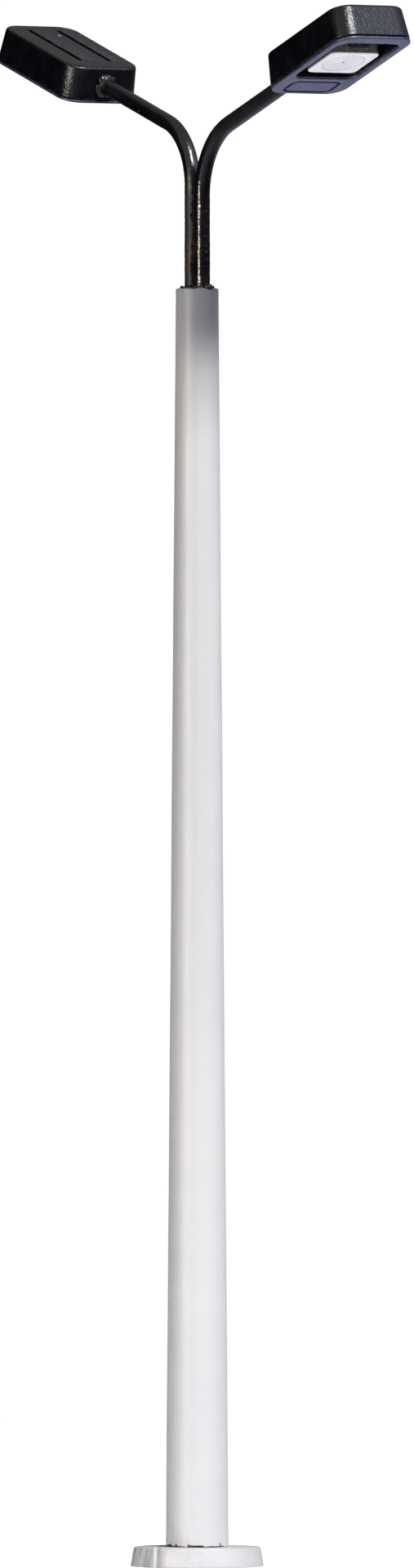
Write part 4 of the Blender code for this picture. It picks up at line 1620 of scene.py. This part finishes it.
def make_joint_shape(across, seed):
    """A solder dome on its foot, pointing down and slightly lopsided."""

    def lopsided(radius, angle, height):
        lean = wave(angle, turns=1.0, seed=seed, height=height, rise=0.2 * MM)
        return radius * (1 + 0.10 * lean), height

    outline = [(JOINT_CENTRE_HOLE, 0.0)]
    for angle in quarter_turns(JOINT_RINGS):
        radius = JOINT_RADIUS * max(0.012, math.cos(angle))
        outline.append((radius, -JOINT_HEIGHT * math.sin(angle)))
    shape = turned(outline, JOINT_SIDES, lopsided)
    centre = Vector((RECESS_INNER_WALL + JOINT_INSET, across * JOINT_SPREAD, CHIP_TOP))
    bmesh.ops.translate(shape, verts=shape.verts, vec=centre)
    return shape


for side, arm in ARMS.items():
    for name, along in (("inner", -1), ("outer", 1)):
        finished_piece(
            f"led_tab_{name}_{side}",
            make_lead_shape(along),
            tin,
            [f"led_lead_{name}_{side}"],
            head_place(side),
            flat_faces=True,
        )
    for name, across in (("plus", 1), ("minus", -1)):
        finished_piece(
            f"solder_joint_{name}_{side}",
            make_joint_shape(across, arm["seed"] + across),
            tin,
            [f"wire_joint_{name}_{side}"],
            head_place(side),
        )

# ---------------------------------------------------------------------------
# Feed wires
# Hair-thin enamelled copper, red for plus and clear for minus. They keep the shape
# that model.glb gives them, and only get their enamel here.
# ---------------------------------------------------------------------------
WIRE_ENAMELS = {
    "plus": ("red_enamel", (0.36, 0.045, 0.025), (0.25, 0.03, 0.02)),
    "minus": ("copper_enamel", (0.50, 0.22, 0.09), (0.38, 0.15, 0.06)),
}
for name, (slot, bright, deep) in WIRE_ENAMELS.items():
    enamel, *_ = start_material(
        f"wire_{slot}",
        {
            "Colour": bright,
            "Cloud Colour": deep,
            "Cloud Size": 0.8,
            "Grain Size": 0.05,
            "Roughness": 0.26,
            "Roughness Spread": 0.12,
        },
        relief=0.002 * MM,
        metallic=0.7,
        coat_weight=0.5,
    )
    for side in ARMS:
        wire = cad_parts[f"feed_wire_{name}_{side}"]
        wire.data.materials.clear()
        wire.data.materials.append(enamel)

# ---------------------------------------------------------------------------
# Table and studio
# The lamp stands on a pale table in a white studio. A softbox and a wider glow hang above
# the right head, two low strips stand at the front left, and flags deepen the black parts.
# ---------------------------------------------------------------------------
TABLE_RADIUS = 320 * MM
TABLE_THICKNESS = 4 * MM
TABLE_SIDES = 96
TABLE_HOLE = 0.01 * MM
TABLE_GAP = 0.01 * MM
TABLE_OUTER_COLOUR = (0.32, 0.32, 0.32)
TABLE_OUTER_FROM = (70 * MM, 130 * MM)
WHITE = (1.0, 1.0, 1.0)

table_finish, table_tree, table_shader, table_colour = start_material(
    "pale_table",
    {
        "Colour": (0.90, 0.90, 0.90),
        "Cloud Colour": (0.87, 0.87, 0.88),
        "Cloud Size": 60.0,
        "Grain Size": 0.8,
        "Roughness": 0.70,
        "Roughness Spread": 0.10,
    },
    relief=0.02 * MM,
    emission_strength=0.90,
)


def lift_table(tree, shader, colour):
    """The table glows to the eye only, and its outer part throws less light on the lamp."""
    outer = add_range(tree, add_measure(tree, "LENGTH", add_spot(tree)), *TABLE_OUTER_FROM)
    tree.links.new(add_stain(tree, colour, TABLE_OUTER_COLOUR, outer), shader.inputs["Base Color"])
    sight = tree.nodes.new("ShaderNodeLightPath")
    glow = add_mix(tree, sight.outputs["Is Diffuse Ray"], WHITE, BLACK)
    tree.links.new(glow, shader.inputs["Emission Color"])


lift_table(table_tree, table_shader, table_colour)


def make_table_shape():
    """A round plate with a rounded upper rim."""
    rim = TABLE_THICKNESS / 4
    outline = [
        (TABLE_HOLE, -TABLE_THICKNESS),
        (TABLE_RADIUS, -TABLE_THICKNESS),
        *rounded_corner((TABLE_RADIUS, -rim), (TABLE_RADIUS, 0.0), (TABLE_RADIUS - rim, 0.0)),
        (0.5 * TABLE_RADIUS, 0.0),
        (TABLE_HOLE, 0.0),
    ]
    return turned(outline, TABLE_SIDES)


table = new_object("pale_table", make_table_shape(), table_finish)
table.location.z = foot_low.z - TABLE_GAP
table.visible_glossy = False

to_right = Vector(ACROSS_FRONT)
to_front = Vector((math.sin(VIEW_TURN), -math.cos(VIEW_TURN), 0))
fork = Vector((0, 0, MAST_TOP))


def studio_direction(turn, rise):
    """Unit vector in the lamp's frame; turn is measured from +X toward +Y, both in degrees."""
    turn, rise = math.radians(turn), math.radians(rise)
    return Vector((math.cos(rise) * math.cos(turn), math.cos(rise) * math.sin(turn), math.sin(rise)))


def add_softbox(name, aim, distance, size, power, colour):
    """A rectangular lamp that faces the fork; aim is its direction, distance and size are in metres."""
    direction = studio_direction(*aim)
    light = bpy.data.lights.new(name, "AREA")
    light.shape = "RECTANGLE"
    light.size, light.size_y = size
    light.energy = power
    light.color = colour
    holder = bpy.data.objects.new(name, light)
    bpy.context.scene.collection.objects.link(holder)
    holder.location = fork + direction * distance
    holder.rotation_mode = "QUATERNION"
    holder.rotation_quaternion = direction.to_track_quat("Z", "Y")
    return holder


KEY_TINT = (1.0, 0.99, 0.98)
GLOW_TINT = (0.90, 0.95, 1.0)
FILL_TINT = (1.0, 0.97, 0.96)
GLINT_TINT = (1.0, 0.90, 0.74)
add_softbox("key_softbox", (3, 45), distance=0.55, size=(0.09, 0.09), power=2.75, colour=KEY_TINT)
key_glow = add_softbox("key_glow", (2, 43), distance=0.50, size=(0.20, 0.20), power=1.7, colour=GLOW_TINT)
fill = add_softbox("fill_strip", (-77, 2), distance=0.40, size=(0.10, 0.14), power=0.37, colour=FILL_TINT)
glint = add_softbox("glint_strip", (-77, 0), distance=0.40, size=(0.08, 0.06), power=0.92, colour=GLINT_TINT)
key_glow.visible_diffuse = False
fill.visible_glossy = False
glint.visible_diffuse = False

UPPER_WALL = studio_direction(40, 33)
LOWER_WALL = studio_direction(142, -31)
UPPER_HAZE = (0.08, 0.35, 0.06, 0.50)
LOWER_HAZE = (-0.40, -0.12, 0.35)
BRIGHT_WALLS = (
    {"towards": studio_direction(-95, 0), "edge": (0.45, 0.95), "adds": 0.45},
    {"towards": UPPER_WALL, "edge": (0.82, 0.97), "adds": 1.5},
    {"towards": LOWER_WALL, "edge": (0.70, 0.96), "adds": 0.62},
)
DARK_FLAGS = (
    {"towards": studio_direction(208, 0), "edge": (0.40, 0.80), "leaves": 0.0},
    {"towards": studio_direction(142, 31), "edge": (0.55, 0.95), "leaves": 0.45},
    {"towards": studio_direction(38, -31), "edge": (0.55, 0.90), "leaves": 0.12},
)
COOL_UPPER_EDGE = (0.60, 0.95)
COOL_LOWER_EDGE = (0.50, 0.90)
COOL_TINT = (0.74, 0.82, 1.12)
PAINT_LIGHT = 0.06
BACKDROP_LIGHT = 1.02


def add_blend(tree, share, first, second):
    """Blend a socket's value with a plain number."""
    node = tree.nodes.new("ShaderNodeMix")
    tree.links.new(share, node.inputs[0])
    tree.links.new(first, node.inputs[2])
    node.inputs[3].default_value = second
    return node.outputs[0]


def add_zone(tree, direction, towards, edge, outside, inside):
    """One value round a direction and another away from it, eased over the edge between."""
    closeness = add_measure(tree, "DOT_PRODUCT", direction, towards)
    return add_range(tree, closeness, *edge, outside, inside)


def make_studio():
    """Surroundings: white for the eye, dim for paint, bright and dark zones for reflections."""
    world = bpy.data.worlds.new("studio")
    bpy.context.scene.world = world
    world.use_nodes = True
    tree = world.node_tree
    background = tree.nodes["Background"]
    sight = tree.nodes.new("ShaderNodeLightPath")
    direction = tree.nodes.new("ShaderNodeTexCoord").outputs["Generated"]
    height = add_axes(tree, direction)["Z"]
    upper = add_range(tree, height, *UPPER_HAZE)
    level = add_math(tree, "ADD", upper, add_fall(tree, height, *LOWER_HAZE))
    for wall in BRIGHT_WALLS:
        gain = add_zone(tree, direction, wall["towards"], wall["edge"], 0.0, wall["adds"])
        level = add_math(tree, "ADD", level, gain)
    for flag in DARK_FLAGS:
        rest = add_zone(tree, direction, flag["towards"], flag["edge"], 1.0, flag["leaves"])
        level = add_math(tree, "MULTIPLY", level, rest)
    level = add_blend(tree, sight.outputs["Is Diffuse Ray"], level, PAINT_LIGHT)
    level = add_blend(tree, sight.outputs["Is Camera Ray"], level, BACKDROP_LIGHT)
    tree.links.new(level, background.inputs["Strength"])
    cool_upper = add_zone(tree, direction, UPPER_WALL, COOL_UPPER_EDGE, 0.0, 1.0)
    cool_lower = add_zone(tree, direction, LOWER_WALL, COOL_LOWER_EDGE, 0.0, 1.0)
    cool = add_math(tree, "MAXIMUM", cool_upper, cool_lower)
    tint = add_mix(tree, cool, WHITE, COOL_TINT)
    shown = add_mix(tree, sight.outputs["Is Camera Ray"], tint, WHITE)
    tree.links.new(shown, background.inputs["Color"])


make_studio()

# ---------------------------------------------------------------------------
# Camera
# A long lens far away at the height of the mast's middle, turned well round toward
# the right arm and tilted up a quarter of a degree.
# ---------------------------------------------------------------------------
CAMERA_DISTANCE = 1186.75 * MM
CAMERA_ASIDE = 0.606 * MM
CAMERA_HEIGHT = 43.18 * MM
CAMERA_TILT = math.radians(0.25)
CAMERA_LENS = 440.6
CAMERA_SENSOR = 36.0
CAMERA_NEAR = 0.05
CAMERA_FAR = 20.0

camera_data = bpy.data.cameras.new("camera")
camera_data.sensor_width = CAMERA_SENSOR
camera_data.lens = CAMERA_LENS
camera_data.clip_start = CAMERA_NEAR
camera_data.clip_end = CAMERA_FAR
camera = bpy.data.objects.new("camera", camera_data)
bpy.context.scene.collection.objects.link(camera)
camera.location = to_right * CAMERA_ASIDE + to_front * CAMERA_DISTANCE
camera.location.z = CAMERA_HEIGHT
line_of_sight = -to_front * math.cos(CAMERA_TILT) + Vector((0, 0, math.sin(CAMERA_TILT)))
camera.rotation_mode = "QUATERNION"
camera.rotation_quaternion = line_of_sight.to_track_quat("-Z", "Y")
bpy.context.scene.camera = camera
bpy.context.scene.view_settings.view_transform = "Standard"
bpy.context.scene.view_settings.look = "None"
